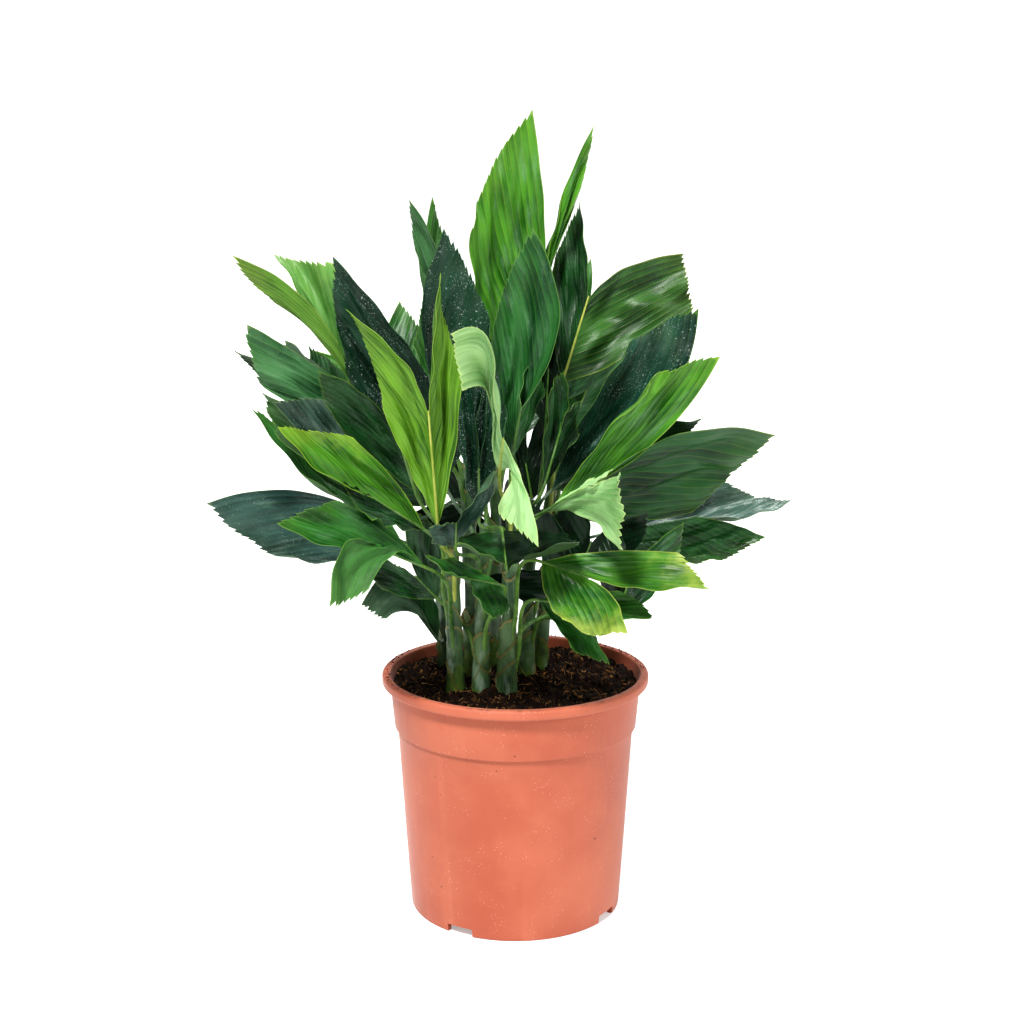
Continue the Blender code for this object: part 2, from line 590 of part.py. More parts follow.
    # Back of the crown
    leaf("leaf_back_left_upright", "cane_back_middle", 245, -155, (-42, 26, 293), (-48, 37, 343),
         lobe((-58, 47, 397), 10),
         lobe((-52, 58, 451), 5), "leaf_green")
    leaf("leaf_back_upper_left", "cane_back_left", 245, 130, (-76, 63, 293), (-90, 79, 324),
         lobe((-140, 116, 347), 18),
         lobe((-78, 116, 381), 20), "leaf_green", towards=(0, -1, 0.6))
    leaf("leaf_back_low_left", "cane_back_left", 210, 90, (-50, 52, 255), (-70, 74, 265),
         lobe((-125, 116, 267), 20),
         lobe((-87, 131, 303), 18), "leaf_dark", towards=(0, -1, 2))
    leaf("leaf_back_middle", "cane_back_middle", 230, 110, (-7, 63, 293), (-5, 94, 302),
         lobe((-32, 147, 315), 18),
         lobe((21, 147, 315), 18), "leaf_green", towards=(0, -1, 2))
    leaf("leaf_back_upright", "cane_back_middle", 280, -10, (-2, 46, 322), (-7, 63, 353),
         lobe((-13, 89, 409), 14),
         lobe((22, 100, 396), 16), "leaf_green", towards=(0, -1, 0.5))
    leaf("leaf_back_right_inner", "cane_back_right", 250, -25, (29, 32, 324), (38, 47, 361),
         lobe((49, 63, 412), 10),
         lobe((82, 79, 384), 16), "leaf_green", towards=(0, -1, 0.5))
    leaf("leaf_back_upper_right", "cane_back_right", 262, 65, (36, 63, 300), (50, 79, 331),
         lobe((96, 121, 346), 18),
         lobe((47, 116, 388), 20), "leaf_green", towards=(0, -1, 0.6))
    leaf("leaf_back_low_right", "cane_back_right", 215, 65, (29, 52, 262), (50, 74, 271),
         lobe((107, 116, 274), 20),
         lobe((66, 131, 317), 18), "leaf_dark", towards=(0, -1, 2))
    leaf("leaf_back_right_low", "cane_back_right", 190, 0, (48, 32, 246), (75, 47, 253),
         lobe((135, 84, 256), 14),
         lobe((118, 94, 288), 14), "leaf_dark", towards=(0, -1, 1))


make_pot()
make_soil()
make_canes()
make_leaves()
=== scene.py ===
import itertools
import math

import bmesh
import bpy
import numpy as np
from mathutils import Matrix, Vector, noise


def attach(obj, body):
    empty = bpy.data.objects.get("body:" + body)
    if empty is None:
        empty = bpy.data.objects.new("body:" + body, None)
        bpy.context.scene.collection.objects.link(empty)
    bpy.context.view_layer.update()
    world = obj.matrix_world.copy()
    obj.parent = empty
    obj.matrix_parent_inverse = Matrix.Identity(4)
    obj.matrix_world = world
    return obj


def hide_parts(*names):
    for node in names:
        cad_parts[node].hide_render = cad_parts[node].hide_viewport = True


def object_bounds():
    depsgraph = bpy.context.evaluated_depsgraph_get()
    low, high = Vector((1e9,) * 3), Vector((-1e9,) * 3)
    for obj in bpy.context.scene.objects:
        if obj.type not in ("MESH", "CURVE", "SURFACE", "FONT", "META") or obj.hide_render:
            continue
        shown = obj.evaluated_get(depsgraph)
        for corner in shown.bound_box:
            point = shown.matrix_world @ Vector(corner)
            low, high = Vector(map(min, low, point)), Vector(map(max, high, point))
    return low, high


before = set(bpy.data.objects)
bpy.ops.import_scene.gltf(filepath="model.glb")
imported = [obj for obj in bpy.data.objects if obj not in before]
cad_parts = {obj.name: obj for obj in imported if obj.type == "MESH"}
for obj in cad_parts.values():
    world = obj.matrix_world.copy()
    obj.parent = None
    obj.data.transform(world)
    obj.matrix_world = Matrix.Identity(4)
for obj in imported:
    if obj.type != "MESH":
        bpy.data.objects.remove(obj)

# The leaves are held inside the box of the solid model, so that the finished plant doesn't outgrow it.
built_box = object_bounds()


# The view: the plant stands square on to the camera, which looks a little down on the crown from
# about a metre away, so that the far side of the soil just shows over the near lip of the pot.
CAMERA_PLACE = (-0.0021, -1.054, 0.476)
CAMERA_TILT = 78.31
LENS = 60.3
SENSOR = 36.0

camera = bpy.data.objects.new("camera", bpy.data.cameras.new("camera"))
camera.location = CAMERA_PLACE
camera.rotation_euler = (math.radians(CAMERA_TILT), 0, 0)
camera.data.lens = LENS
camera.data.sensor_width = SENSOR
camera.data.clip_start = 0.01
bpy.context.collection.objects.link(camera)
bpy.context.scene.camera = camera
bpy.context.scene.view_settings.view_transform = "Standard"
bpy.context.scene.view_settings.look = "Medium High Contrast"


# The studio: a white sweep lit so brightly that it shows no edge, a broad soft light high on the
# left in front, a weak one on the right, and one high behind that puts a sheen on the upper leaves.
# The studio is measured in metres. The pot and the plant are drawn in millimetres.
MM = 0.001
FLOOR_HALF = 6.0
FLOOR_GREY = 0.8
FLOOR_GLOW = 0.34
BACKDROP_WHITE = 1.05
SKY_STRENGTH = 0.24
# Where each light comes from, how wide it looks in degrees, and its strength
LIGHTS = {
    "key_light": ((-0.4, -0.8, 1.3), 12.0, 2.9),
    "fill_light": ((0.8, -0.7, 0.7), 25.0, 0.8),
    "back_light": ((0.3, 0.9, 1.3), 20.0, 1.6),
}


class Nodes:
    """A material's or group's node tree, with short calls to add a node and link its inputs."""

    def __init__(self, tree):
        self.tree = tree

    def feed(self, sockets, inputs):
        """Link or set each named input."""
        for name, value in inputs.items():
            if isinstance(value, bpy.types.NodeSocket):
                self.tree.links.new(value, sockets[name])
            else:
                sockets[name].default_value = value

    def add(self, kind, inputs=(), **settings):
        made = self.tree.nodes.new(kind)
        for name, value in settings.items():
            setattr(made, name, value)
        self.feed(made.inputs, dict(inputs))
        return made

    def place(self):
        return self.add("ShaderNodeTexCoord").outputs["Object"]

    def stored(self, label):
        return self.add("ShaderNodeAttribute", attribute_name=label).outputs["Fac"]

    def math(self, operation, a, b=0.0):
        return self.add("ShaderNodeMath", {0: a, 1: b}, operation=operation).outputs[0]

    def times(self, a, *others):
        for other in others:
            a = self.math("MULTIPLY", a, other)
        return a

    def plus(self, a, *others):
        for other in others:
            a = self.math("ADD", a, other)
        return a

    def step(self, value, low, high, bottom=0.0, top=1.0):
        """A soft step: bottom where value is under low, top where it is over high."""
        inputs = {"Value": value, "From Min": low, "From Max": high, "To Min": bottom, "To Max": top}
        return self.add("ShaderNodeMapRange", inputs, interpolation_type="SMOOTHSTEP").outputs[0]

    def mix(self, share, a, b):
        """a where share is 0, and b where it is 1."""
        return self.add("ShaderNodeMix", {"Factor": share, 6: a, 7: b}, data_type="RGBA").outputs[2]

    def layers(self, colour, *layers):
        """A colour with others laid over it in turn, each given as its share and its colour."""
        for share, layer in layers:
            colour = self.mix(share, colour, layer)
        return colour

    def noise(self, vector, scale, detail=3.0, rough=0.5):
        inputs = {"Vector": vector, "Scale": scale, "Detail": detail, "Roughness": rough}
        return self.add("ShaderNodeTexNoise", inputs).outputs["Fac"]

    def specks(self, vector, scale, size, spread, low, high, detail=3.0):
        """1 inside small round specks, one in each cell, in patches where a noise is over high."""
        cells = self.add("ShaderNodeTexVoronoi", {"Vector": vector, "Scale": scale})
        speck = self.step(cells.outputs["Distance"], size * 0.6, size, 1.0, 0.0)
        return self.times(speck, self.step(self.noise(vector, spread, detail), low, high))

    def stretch(self, vector, x, y, z, shift=(0, 0, 0)):
        inputs = {"Vector": vector, "Location": shift, "Scale": (x, y, z)}
        return self.add("ShaderNodeMapping", inputs).outputs[0]

    def bump(self, height, strength, depth):
        """A bump normal. depth is in millimetres."""
        inputs = {"Height": height, "Strength": strength, "Distance": depth * MM}
        return self.add("ShaderNodeBump", inputs).outputs[0]


def new_material(name):
    made = bpy.data.materials.new(name)
    made.use_nodes = True
    return made, Nodes(made.node_tree), made.node_tree.nodes["Principled BSDF"].inputs


floor_white, floor_nodes, floor_shader = new_material("floor_white")
in_view = floor_nodes.add("ShaderNodeLightPath").outputs["Is Camera Ray"]
floor_nodes.feed(floor_shader, {
    "Base Color": (FLOOR_GREY, FLOOR_GREY, FLOOR_GREY, 1), "Roughness": 0.9,
    "Emission Color": (1, 1, 1, 1), "Emission Strength": floor_nodes.math("MULTIPLY", in_view, FLOOR_GLOW)})
corners = [(x * FLOOR_HALF, y * FLOOR_HALF, 0) for x, y in ((-1, -1), (1, -1), (1, 1), (-1, 1))]
floor_mesh = bpy.data.meshes.new("floor")
floor_mesh.from_pydata(corners, [], [(0, 1, 2, 3)])
floor_mesh.materials.append(floor_white)
floor = bpy.data.objects.new("floor", floor_mesh)
bpy.context.collection.objects.link(floor)

sky = bpy.data.worlds.new("sky")
sky.use_nodes = True
sky_nodes = Nodes(sky.node_tree)
in_view = sky_nodes.add("ShaderNodeLightPath").outputs["Is Camera Ray"]
sky_nodes.feed(sky.node_tree.nodes["Background"].inputs, {
    "Color": (1, 1, 1, 1), "Strength": sky_nodes.step(in_view, 0.0, 1.0, SKY_STRENGTH, BACKDROP_WHITE)})
bpy.context.scene.world = sky

for light_name, (source, spread, strength) in LIGHTS.items():
    light_data = bpy.data.lights.new(light_name, "SUN")
    light_data.angle = math.radians(spread)
    light_data.energy = strength
    light = bpy.data.objects.new(light_name, light_data)
    light.rotation_euler = Vector(source).to_track_quat("Z", "Y").to_euler()
    bpy.context.collection.objects.link(light)


# The pot: a nursery pot moulded in one piece from terracotta coloured plastic. It has a recessed
# floor on a thin foot, a plain tapered wall, a narrow shoulder, a collar and a rolled lip.
POT_HEIGHT = 155.0
FOOT_RECESS = 5.5
FOOT_INNER = 63.4
WALL_FOOT = 67.9
SHOULDER_HEIGHT = 120.0
SHOULDER_RADIUS = 75.3
SHOULDER_STEP = 2.1
COLLAR_TOP = 148.0
COLLAR_RADIUS = 79.6
LIP_RADIUS = 85.0
LIP_INNER = 79.5
LIP_DEPTH = 6.5
LIP_ROUNDING = 1.6
LIP_TOP_ROUNDING = 2.0
WALL = 1.7
FLOOR_THICK = 2.0
NOTCH_LENGTH = 12.0
NOTCH_WIDTH = 18.0
NOTCH_ROUNDING = 0.9
NOTCH_COUNT = 4
FIRST_NOTCH = -121.0
DRAIN_RADIUS = 4.5
DRAIN_CIRCLE = 48.0
FIRST_DRAIN = -76.0
POT_SIDES = 192


def vec(*numbers):
    return np.array(numbers, dtype=float)


def around(radius, a, height=0.0):
    """The point at a radius, an angle in radians and a height."""
    return vec(radius * math.cos(a), radius * math.sin(a), height)


def srgb(red, green, blue):
    """A colour as the eye reads it, from 0 to 255, turned into the renderer's linear values."""
    levels = [c / 255 for c in (red, green, blue)]
    linear = [c / 12.92 if c <= 0.04045 else ((c + 0.055) / 1.055) ** 2.4 for c in levels]
    return (*linear, 1.0)


def arc(middle, radius, start, stop, steps):
    """Points of a rounded corner in an outline of radius and height."""
    angles = np.radians(np.linspace(start, stop, steps + 1))
    return [(middle[0] + radius * math.cos(a), middle[1] + radius * math.sin(a)) for a in angles]


def turned(outline, sides):
    """A body turned about Z from an outline that starts and ends on the axis, bottom to top."""
    points, rings, faces = [], [], []
    for radius, height in outline:
        count = 1 if radius == 0 else sides
        rings.append(list(range(len(points), len(points) + count)))
        points += [around(radius, 2 * math.pi * i / sides, height) for i in range(count)]
    for low, high in zip(rings, rings[1:]):
        for i in range(sides):
            j = (i + 1) % sides
            if len(low) == 1:
                faces.append([low[0], high[j], high[i]])
            elif len(high) == 1:
                faces.append([low[i], low[j], high[0]])
            else:
                faces.append([low[i], low[j], high[j], high[i]])
    return points, faces


def add_piece(name, points, faces, materials, sharp):
    """A smooth shaded object from points in millimetres, with edges over sharp degrees kept sharp."""
    mesh = bpy.data.meshes.new(name)
    mesh.from_pydata((np.array(points) * MM).tolist(), [], faces)
    mesh.shade_smooth()
    mesh.set_sharp_from_angle(angle=math.radians(sharp))
    for material in materials:
        mesh.materials.append(material)
    piece = bpy.data.objects.new(name, mesh)
    bpy.context.collection.objects.link(piece)
    return piece


def cut_out(piece, cutters):
    """Subtract the cutters, keep the result as the piece's own mesh and remove the cutters."""
    for cutter in cutters:
        boolean = piece.modifiers.new(cutter.name, "BOOLEAN")
        boolean.operation = "DIFFERENCE"
        boolean.solver = "EXACT"
        boolean.object = cutter
    bpy.context.view_layer.update()
    evaluated = piece.evaluated_get(bpy.context.evaluated_depsgraph_get())
    finished = bpy.data.meshes.new_from_object(evaluated)
    piece.modifiers.clear()
    piece.data = finished
    for cutter in cutters:
        bpy.data.objects.remove(cutter, do_unlink=True)


def terracotta_plastic():
    """Matte terracotta plastic: faint cloudiness, pale flecks, and dried soil most of all on the lip."""
    made, n, shader = new_material("terracotta_plastic")
    place = n.place()
    cloud = n.noise(place, 14.0, 4.0, 0.6)
    streaks = n.noise(n.stretch(place, 60, 60, 4), 1.0)
    flecks = n.specks(place, 420.0, 0.2, 60.0, 0.46, 0.6)
    smears = n.step(n.noise(n.stretch(place, 1, 1, 0.35), 26.0, 6.0, 0.68), 0.5, 0.8)
    height = n.add("ShaderNodeSeparateXYZ", {"Vector": place}).outputs["Z"]
    lip_top = n.step(height, (POT_HEIGHT - LIP_ROUNDING) * MM, POT_HEIGHT * MM)
    soiled = n.times(lip_top, n.step(n.noise(place, 120.0, 5.0, 0.7), 0.5, 0.66))
    colour = n.layers(
        srgb(190, 98, 70),
        (n.step(cloud, 0.35, 0.7), srgb(204, 116, 87)),
        (n.step(streaks, 0.55, 0.75, 0.0, 0.25), srgb(230, 140, 108)),
        (n.times(flecks, 0.35), srgb(236, 190, 170)),
        (n.times(smears, 0.16), srgb(196, 92, 62)),
        (n.specks(place, 210.0, 0.22, 34.0, 0.68, 0.74, 2.0), srgb(92, 42, 28)),
        (n.times(soiled, 0.55), srgb(120, 62, 42)))
    scratches = n.noise(n.stretch(place, 90, 90, 700), 1.0, 2.0)
    relief = n.plus(n.noise(place, 900.0, 2.0), n.times(scratches, 0.5))
    n.feed(shader, {"Base Color": colour, "Roughness": n.step(cloud, 0.3, 0.75, 0.5, 0.64),
                    "Sheen Weight": 0.25, "Sheen Roughness": 0.4, "Normal": n.bump(relief, 0.12, 0.4)})
    return made


def pot_outline():
    """Radius and height, up the outside of the pot, over its lip and down the inside."""
    lip_low = POT_HEIGHT - LIP_DEPTH
    outline = [(0, FOOT_RECESS), (FOOT_INNER - 0.6, FOOT_RECESS), (FOOT_INNER, FOOT_RECESS - 0.6)]
    outline += [(FOOT_INNER + 0.6, 0.3), (FOOT_INNER + 0.9, 0)]
    outline += arc((WALL_FOOT - 1.7, 1.5), 1.5, -90, -8, 5)
    for share in np.linspace(0, 1, 7)[1:-1]:
        wall = WALL_FOOT + (SHOULDER_RADIUS - WALL_FOOT) * share
        outline.append((wall, 2 + (SHOULDER_HEIGHT - 2) * share))
    outline.append((SHOULDER_RADIUS - 0.03, SHOULDER_HEIGHT - 0.5))
    outline.append((SHOULDER_RADIUS + 0.15, SHOULDER_HEIGHT))
    outline += arc((SHOULDER_RADIUS + SHOULDER_STEP - 0.9, SHOULDER_HEIGHT + 1.3), 0.9, -80, 0, 3)
    outline += [(COLLAR_RADIUS - 0.8, COLLAR_TOP - 11), (COLLAR_RADIUS, COLLAR_TOP - 0.2)]
    outline += arc((LIP_RADIUS - LIP_ROUNDING, lip_low + LIP_ROUNDING), LIP_ROUNDING, -95, 0, 5)
    lip_top = (LIP_RADIUS - LIP_TOP_ROUNDING, POT_HEIGHT - LIP_TOP_ROUNDING)
    outline += arc(lip_top, LIP_TOP_ROUNDING, 0, 90, 6)
    outline += arc((LIP_INNER + LIP_ROUNDING, POT_HEIGHT - LIP_ROUNDING), LIP_ROUNDING, 90, 180, 5)
    outline.append((COLLAR_RADIUS - 1.0, COLLAR_TOP))
    outline.append((SHOULDER_RADIUS + SHOULDER_STEP - 1.5, SHOULDER_HEIGHT + 1))
    outline.append((SHOULDER_RADIUS - WALL, SHOULDER_HEIGHT - 2))
    return outline + [(WALL_FOOT - WALL, FOOT_RECESS + FLOOR_THICK), (0, FOOT_RECESS + FLOOR_THICK)]


pot = add_piece("grower_pot_shell", *turned(pot_outline(), POT_SIDES), [terracotta_plastic()], 30)
pot_cutters = []
for i in range(NOTCH_COUNT):
    turn = math.radians(FIRST_NOTCH + 90 * i)
    bpy.ops.mesh.primitive_cube_add(size=1)
    notch = bpy.context.object
    notch_size = (NOTCH_LENGTH * MM, NOTCH_WIDTH * MM, (FOOT_RECESS + 1) * MM, 1)
    notch.data.transform(Matrix.Diagonal(notch_size))
    notch.location = around((FOOT_INNER + WALL_FOOT) / 2, turn, (FOOT_RECESS - 1) / 2) * MM
    notch.rotation_euler.z = turn
    rounding = notch.modifiers.new("rounded corners", "BEVEL")
    rounding.width = NOTCH_ROUNDING * MM
    rounding.segments = 3
    bpy.ops.mesh.primitive_cylinder_add(radius=DRAIN_RADIUS * MM, depth=20 * MM, vertices=40)
    drain = bpy.context.object
    drain.location = around(DRAIN_CIRCLE, math.radians(FIRST_DRAIN + 90 * i), 4) * MM
    pot_cutters += [notch, drain]
cut_out(pot, pot_cutters)
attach(pot, "root")
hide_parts("grower_pot")


# The potting mix: a dark, damp, crumbly mix of peat and bark that fills the pot nearly to its lip,
# heaped a little at the back left and the right, with crumbs and golden fibres lying on it.
SOIL_TOP = 147.0
SOIL_BUMP = 1.6
SOIL_RADIUS = 78.0
SOIL_HIGHEST = POT_HEIGHT - 2.5
SOIL_FOOT_RADIUS = 65.9
SOIL_GAP = 0.3
SOIL_RINGS = 64
SOIL_SIDES = 200
CRUMB_COUNT = 3200
CRUMB_REACH = 0.985
LIP_CRUMB_COUNT = 150
LIP_CRUMB_PLACES = [160, 200, 40, 20, 100]
FIBRE_COUNT = 150
FIBRE_REACH = 0.93
FIBRE_POINTS = 7


def soil_height(x, y):
    lumps = math.sin(0.13 * x + 0.8) * math.cos(0.17 * y) + 0.5 * math.sin(0.31 * x - 0.27 * y)
    heap_left = 3.0 * math.exp(-((x + 62) ** 2 + (y - 20) ** 2) / 500)
    heap_right = 2.4 * math.exp(-((x - 30) ** 2 + (y - 58) ** 2) / 700)
    return SOIL_TOP + SOIL_BUMP * lumps + heap_left + heap_right


def crumbly_height(x, y):
    lumps = noise.noise(Vector((x * 0.11, y * 0.11, 3.0))) * 3.2
    clods = noise.noise(Vector((x * 0.33, y * 0.33, 9.0))) * 2.2
    grit = noise.noise(Vector((x * 0.9, y * 0.9, 5.0))) * 1.1
    return min(soil_height(x, y) + lumps + clods + grit, SOIL_HIGHEST)


def potting_mix():
    """Near black peat, with browner dry grains on top."""
    made, n, shader = new_material("potting_mix")
    place = n.place()
    grain = n.noise(place, 520.0, 6.0, 0.7)
    dry = n.step(n.noise(place, 160.0, 4.0), 0.56, 0.7)
    colour = n.layers(srgb(8, 5, 4), (n.step(grain, 0.36, 0.66), srgb(46, 29, 19)),
                      (n.times(dry, 0.6), srgb(112, 78, 46)))
    n.feed(shader, {"Base Color": colour, "Roughness": n.step(grain, 0.3, 0.7, 0.75, 0.97),
                    "Specular IOR Level": 0.12, "Normal": n.bump(grain, 0.8, 1.2)})
    return made


def new_group(name, inputs, outputs):
    """A shared shader group. inputs are (name, socket kind, default) and outputs (name, kind)."""
    tree = bpy.data.node_groups.new(name, "ShaderNodeTree")
    for label, kind, default in inputs:
        socket = tree.interface.new_socket(label, in_out="INPUT", socket_type="NodeSocket" + kind)
        socket.default_value = default
    for label, kind in outputs:
        tree.interface.new_socket(label, in_out="OUTPUT", socket_type="NodeSocket" + kind)
    nodes = Nodes(tree)
    return tree, nodes, nodes.add("NodeGroupInput").outputs, nodes.add("NodeGroupOutput").inputs


def mottled_group():
    """Bits of bark or coir, each a shade between dark and light that follows its own tone."""
    inputs = [("Dark", "Color", srgb(12, 7, 4)), ("Light", "Color", srgb(150, 108, 62))]
    tree, n, given, out = new_group("mottled bits", inputs, [("Colour", "Color"), ("Roughness", "Float")])
    mottled = n.plus(n.stored("tone"), n.times(n.noise(n.place(), 700.0), 0.3))
    colour = n.mix(n.step(mottled, 0.2, 1.25), given["Dark"], given["Light"])
    n.feed(out, {"Colour": colour, "Roughness": n.step(mottled, 0.0, 1.2, 0.95, 0.7)})
    return tree


MOTTLED_BITS = mottled_group()


def mottled_material(name, dark, light):
    made, n, shader = new_material(name)
    bits = n.add("ShaderNodeGroup", {"Dark": dark, "Light": light}, node_tree=MOTTLED_BITS).outputs
    n.feed(shader, {"Base Color": bits["Colour"], "Roughness": bits["Roughness"],
                    "Specular IOR Level": 0.15})
    return made


def store(piece, label, values):
    """Keep a number for each point of a piece, for its material to read."""
    attribute = piece.data.attributes.new(label, "FLOAT", "POINT")
    attribute.data.foreach_set("value", np.array(values, dtype=np.float32))


def make_soil():
    bottom = FOOT_RECESS + FLOOR_THICK + SOIL_GAP
    outline = [(0, bottom), (SOIL_FOOT_RADIUS, bottom)]
    outline.append((SHOULDER_RADIUS - WALL - SOIL_GAP, SHOULDER_HEIGHT - 2))
    outline.append((SHOULDER_RADIUS + SHOULDER_STEP - 1.5 - SOIL_GAP, SHOULDER_HEIGHT + 1 + SOIL_GAP))
    outline += [(SOIL_RADIUS * (1 - k / SOIL_RINGS), SOIL_TOP) for k in range(SOIL_RINGS)]
    points, faces = turned(outline + [(0, SOIL_TOP)], SOIL_SIDES)
    for p in points:
        if p[2] == SOIL_TOP:
            p[2] = crumbly_height(p[0], p[1])
    return add_piece("potting_mix", points, faces, [potting_mix()], 180)


def ball_template():
    """Corners and triangles of a coarse ball."""
    ball = bmesh.new()
    bmesh.ops.create_icosphere(ball, subdivisions=1, radius=0.5)
    corners = np.array([corner.co[:] for corner in ball.verts])
    faces = [[corner.index for corner in face.verts] for face in ball.faces]
    ball.free()
    return corners, faces


def rough_lump(corners, middle, size, random):
    """A flattened, uneven crumb of the ball's corners."""
    turn, _ = np.linalg.qr(random.normal(size=(3, 3)))
    turn = turn * np.sign(np.linalg.det(turn))
    flat = vec(random.uniform(0.7, 1.5), random.uniform(0.6, 1.0), random.uniform(0.4, 0.8))
    uneven = random.uniform(0.7, 1.25, (len(corners), 1))
    return middle + (corners * uneven * flat * size) @ turn.T


def join(parts):
    """Several (points, faces) as one, with the count of faces in each."""
    points, faces, counts = [], [], []
    for part_points, part_faces in parts:
        faces += [[len(points) + int(c) for c in face] for face in part_faces]
        points += list(part_points)
        counts.append(len(part_faces))
    return points, faces, counts


def scattered(name, bits, tones, material, dark, light):
    """One piece of many small bits of bark or fibre, each with a tone of its own."""
    points, faces, _ = join(bits)
    piece = add_piece(name, points, faces, [mottled_material(material, dark, light)], 180)
    store(piece, "tone", np.repeat(tones, len(bits[0][0])))
    return piece


def spot_on_soil(random, reach):
    """A random point on the soil, no further out than a share of its radius."""
    away = SOIL_RADIUS * reach * math.sqrt(random.uniform())
    return around(away, random.uniform(0, 2 * math.pi))


def make_crumbs():
    random = np.random.RandomState(11)
    corners, template = ball_template()
    crumbs, tones = [], []

    def drop(middle, size):
        crumbs.append((rough_lump(corners, middle, size, random), template))
        tones.append(random.uniform() ** 3.2)

    for _ in range(CRUMB_COUNT):
        spot = spot_on_soil(random, CRUMB_REACH)
        size = random.uniform(0.7, 1.5) if random.uniform() < 0.8 else random.uniform(1.5, 3.4)
        spot[2] = crumbly_height(spot[0], spot[1]) + size * 0.2
        drop(spot, size)
    for _ in range(LIP_CRUMB_COUNT):
        a = math.radians(random.choice(LIP_CRUMB_PLACES) + random.normal() * 16)
        away = random.uniform(LIP_INNER + 0.8, LIP_RADIUS - 1.2)
        size = random.uniform(0.5, 1.3)
        drop(around(away, a, POT_HEIGHT + size * 0.18), size)
    return scattered("soil_crumbs", crumbs, tones, "bark", srgb(12, 7, 4), srgb(150, 108, 62))


def unit(v):
    return v / max(np.linalg.norm(v), 1e-9)


def ring_faces(rings, sides):
    """Faces of a tube whose points come ring by ring, with both ends closed."""
    faces = []
    for k in range(rings - 1):
        for i in range(sides):
            j = (i + 1) % sides
            faces.append([k * sides + i, k * sides + j, (k + 1) * sides + j, (k + 1) * sides + i])
    last = (rings - 1) * sides
    return faces + [list(range(sides))[::-1], [last + i for i in range(sides)]]


def tube(path, radii, sides):
    """A round tube along a path, closed at both ends. Returns points and faces."""
    path = np.array(path, float)
    ways = np.gradient(path, axis=0)
    ways = ways / np.linalg.norm(ways, axis=1, keepdims=True)
    side = np.cross(ways[0], vec(0, 0, 1) if abs(ways[0][2]) < 0.9 else vec(0, 1, 0))
    points = []
    for k, middle in enumerate(path):
        side = unit(side - ways[k] * np.dot(side, ways[k]))
        up = np.cross(side, ways[k])
        for i in range(sides):
            a = 2 * math.pi * i / sides
            points.append(middle + radii[k] * (side * math.cos(a) - up * math.sin(a)))
    return points, ring_faces(len(path), sides)


def make_fibres():
    random = np.random.RandomState(5)
    fibres, tones = [], []
    for _ in range(FIBRE_COUNT):
        spot = spot_on_soil(random, FIBRE_REACH)
        heading = random.uniform(0, 2 * math.pi)
        length = random.uniform(2, 9)
        path = []
        for share in np.linspace(0, 1, FIBRE_POINTS):
            heading += random.normal() * 0.22
            spot = spot + around(length / 6, heading)
            spot = spot * min(1.0, SOIL_RADIUS * 0.97 / max(math.hypot(spot[0], spot[1]), 1))
            hump = math.sin(math.pi * share) * 0.8
            ground = min(crumbly_height(spot[0], spot[1]), POT_HEIGHT - 3)
            path.append((spot[0], spot[1], ground + 0.2 + hump))
        fibres.append(tube(path, [random.uniform(0.1, 0.24)] * FIBRE_POINTS, 5))
        tones.append(random.uniform(0.2, 1.0))
    return scattered("soil_fibres", fibres, tones, "coir", srgb(74, 46, 24), srgb(196, 150, 92))


soil = make_soil()
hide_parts("potting_soil")
for piece in (soil, make_crumbs(), make_fibres()):
    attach(piece, "root")


# The canes: slim green stems, about as thick as a pencil, planted close together. Each is wrapped in
# the sheaths of its old leaves, which end in pale torn edges near the soil.
SOIL_LEVEL = 140.0
CANE_BURIED = 26.0
CANE_TAPER = 0.85
CANE_WAIST = 0.7
CANE_FLARE = 16.0
CANE_SIDES = 28
SHEATH_TORN = 2.0
CANE_RING_SPACING = 23.0
CANE_RING_SWELLING = 0.28
CANE_RING_GROOVE = 0.12
CANE_WOBBLE = 0.12
OLD_SHEATH_COVER = 0.45
# The distance to a torn edge or a margin that is given to points which have neither near
FAR_FROM_EDGE = 40.0
TISSUE_OUTPUTS = [("Colour", "Color"), ("Roughness", "Float"), ("Height", "Float")]
# The rings of a sheath: how far up it each lies, and how far it stands out, as shares of its cover
SHEATH_RINGS = [(0.0, 0.0), (0.3, 1.3), (0.6, 1.2), (0.82, 1.0), (0.93, 1.3), (1.0, 2.0), (1.0, -0.4)]
# Where each cane leaves the soil, its top and its radius. Then its old sheaths, each with the height
# of its torn edge, the azimuth of its high side, and its slant
CANES = {
    "cane_front_left": ((-37, -17), (-40, -20, 252), 6.0, [(188, -55, 34), (166, 160, 20)]),
    "cane_front_middle": ((-22, -17), (-19, -16, 255), 5.6, [(194, -115, 30), (172, -20, 26)]),
    "cane_front_right": ((-6, -19), (-2, -24, 262), 6.4, [(192, -110, 38), (168, 60, 18)]),
    "cane_middle_right": ((7, 12), (10, 14, 265), 5.0, [(186, -60, 30), (164, 120, 16)]),
    "cane_back_right": ((16, 30), (24, 36, 285), 4.8, [(192, 30, 34), (170, -120, 20)]),
    "cane_back_left": ((-45, 32), (-52, 34, 260), 5.0, [(187, 150, 32), (164, -60, 16)]),
    "cane_back_middle": ((-14, 34), (-12, 42, 300), 5.4, [(190, 80, 34), (168, -90, 20)]),
    "cane_middle_left": ((-28, 10), (-30, 12, 300), 5.4, [(194, -150, 34), (168, 20, 20)]),
}


def cane_middle(name, height):
    low, high = vec(*CANES[name][0], SOIL_LEVEL), vec(*CANES[name][1])
    share = (height - SOIL_LEVEL) / (high[2] - SOIL_LEVEL)
    return low + (high - low) * share


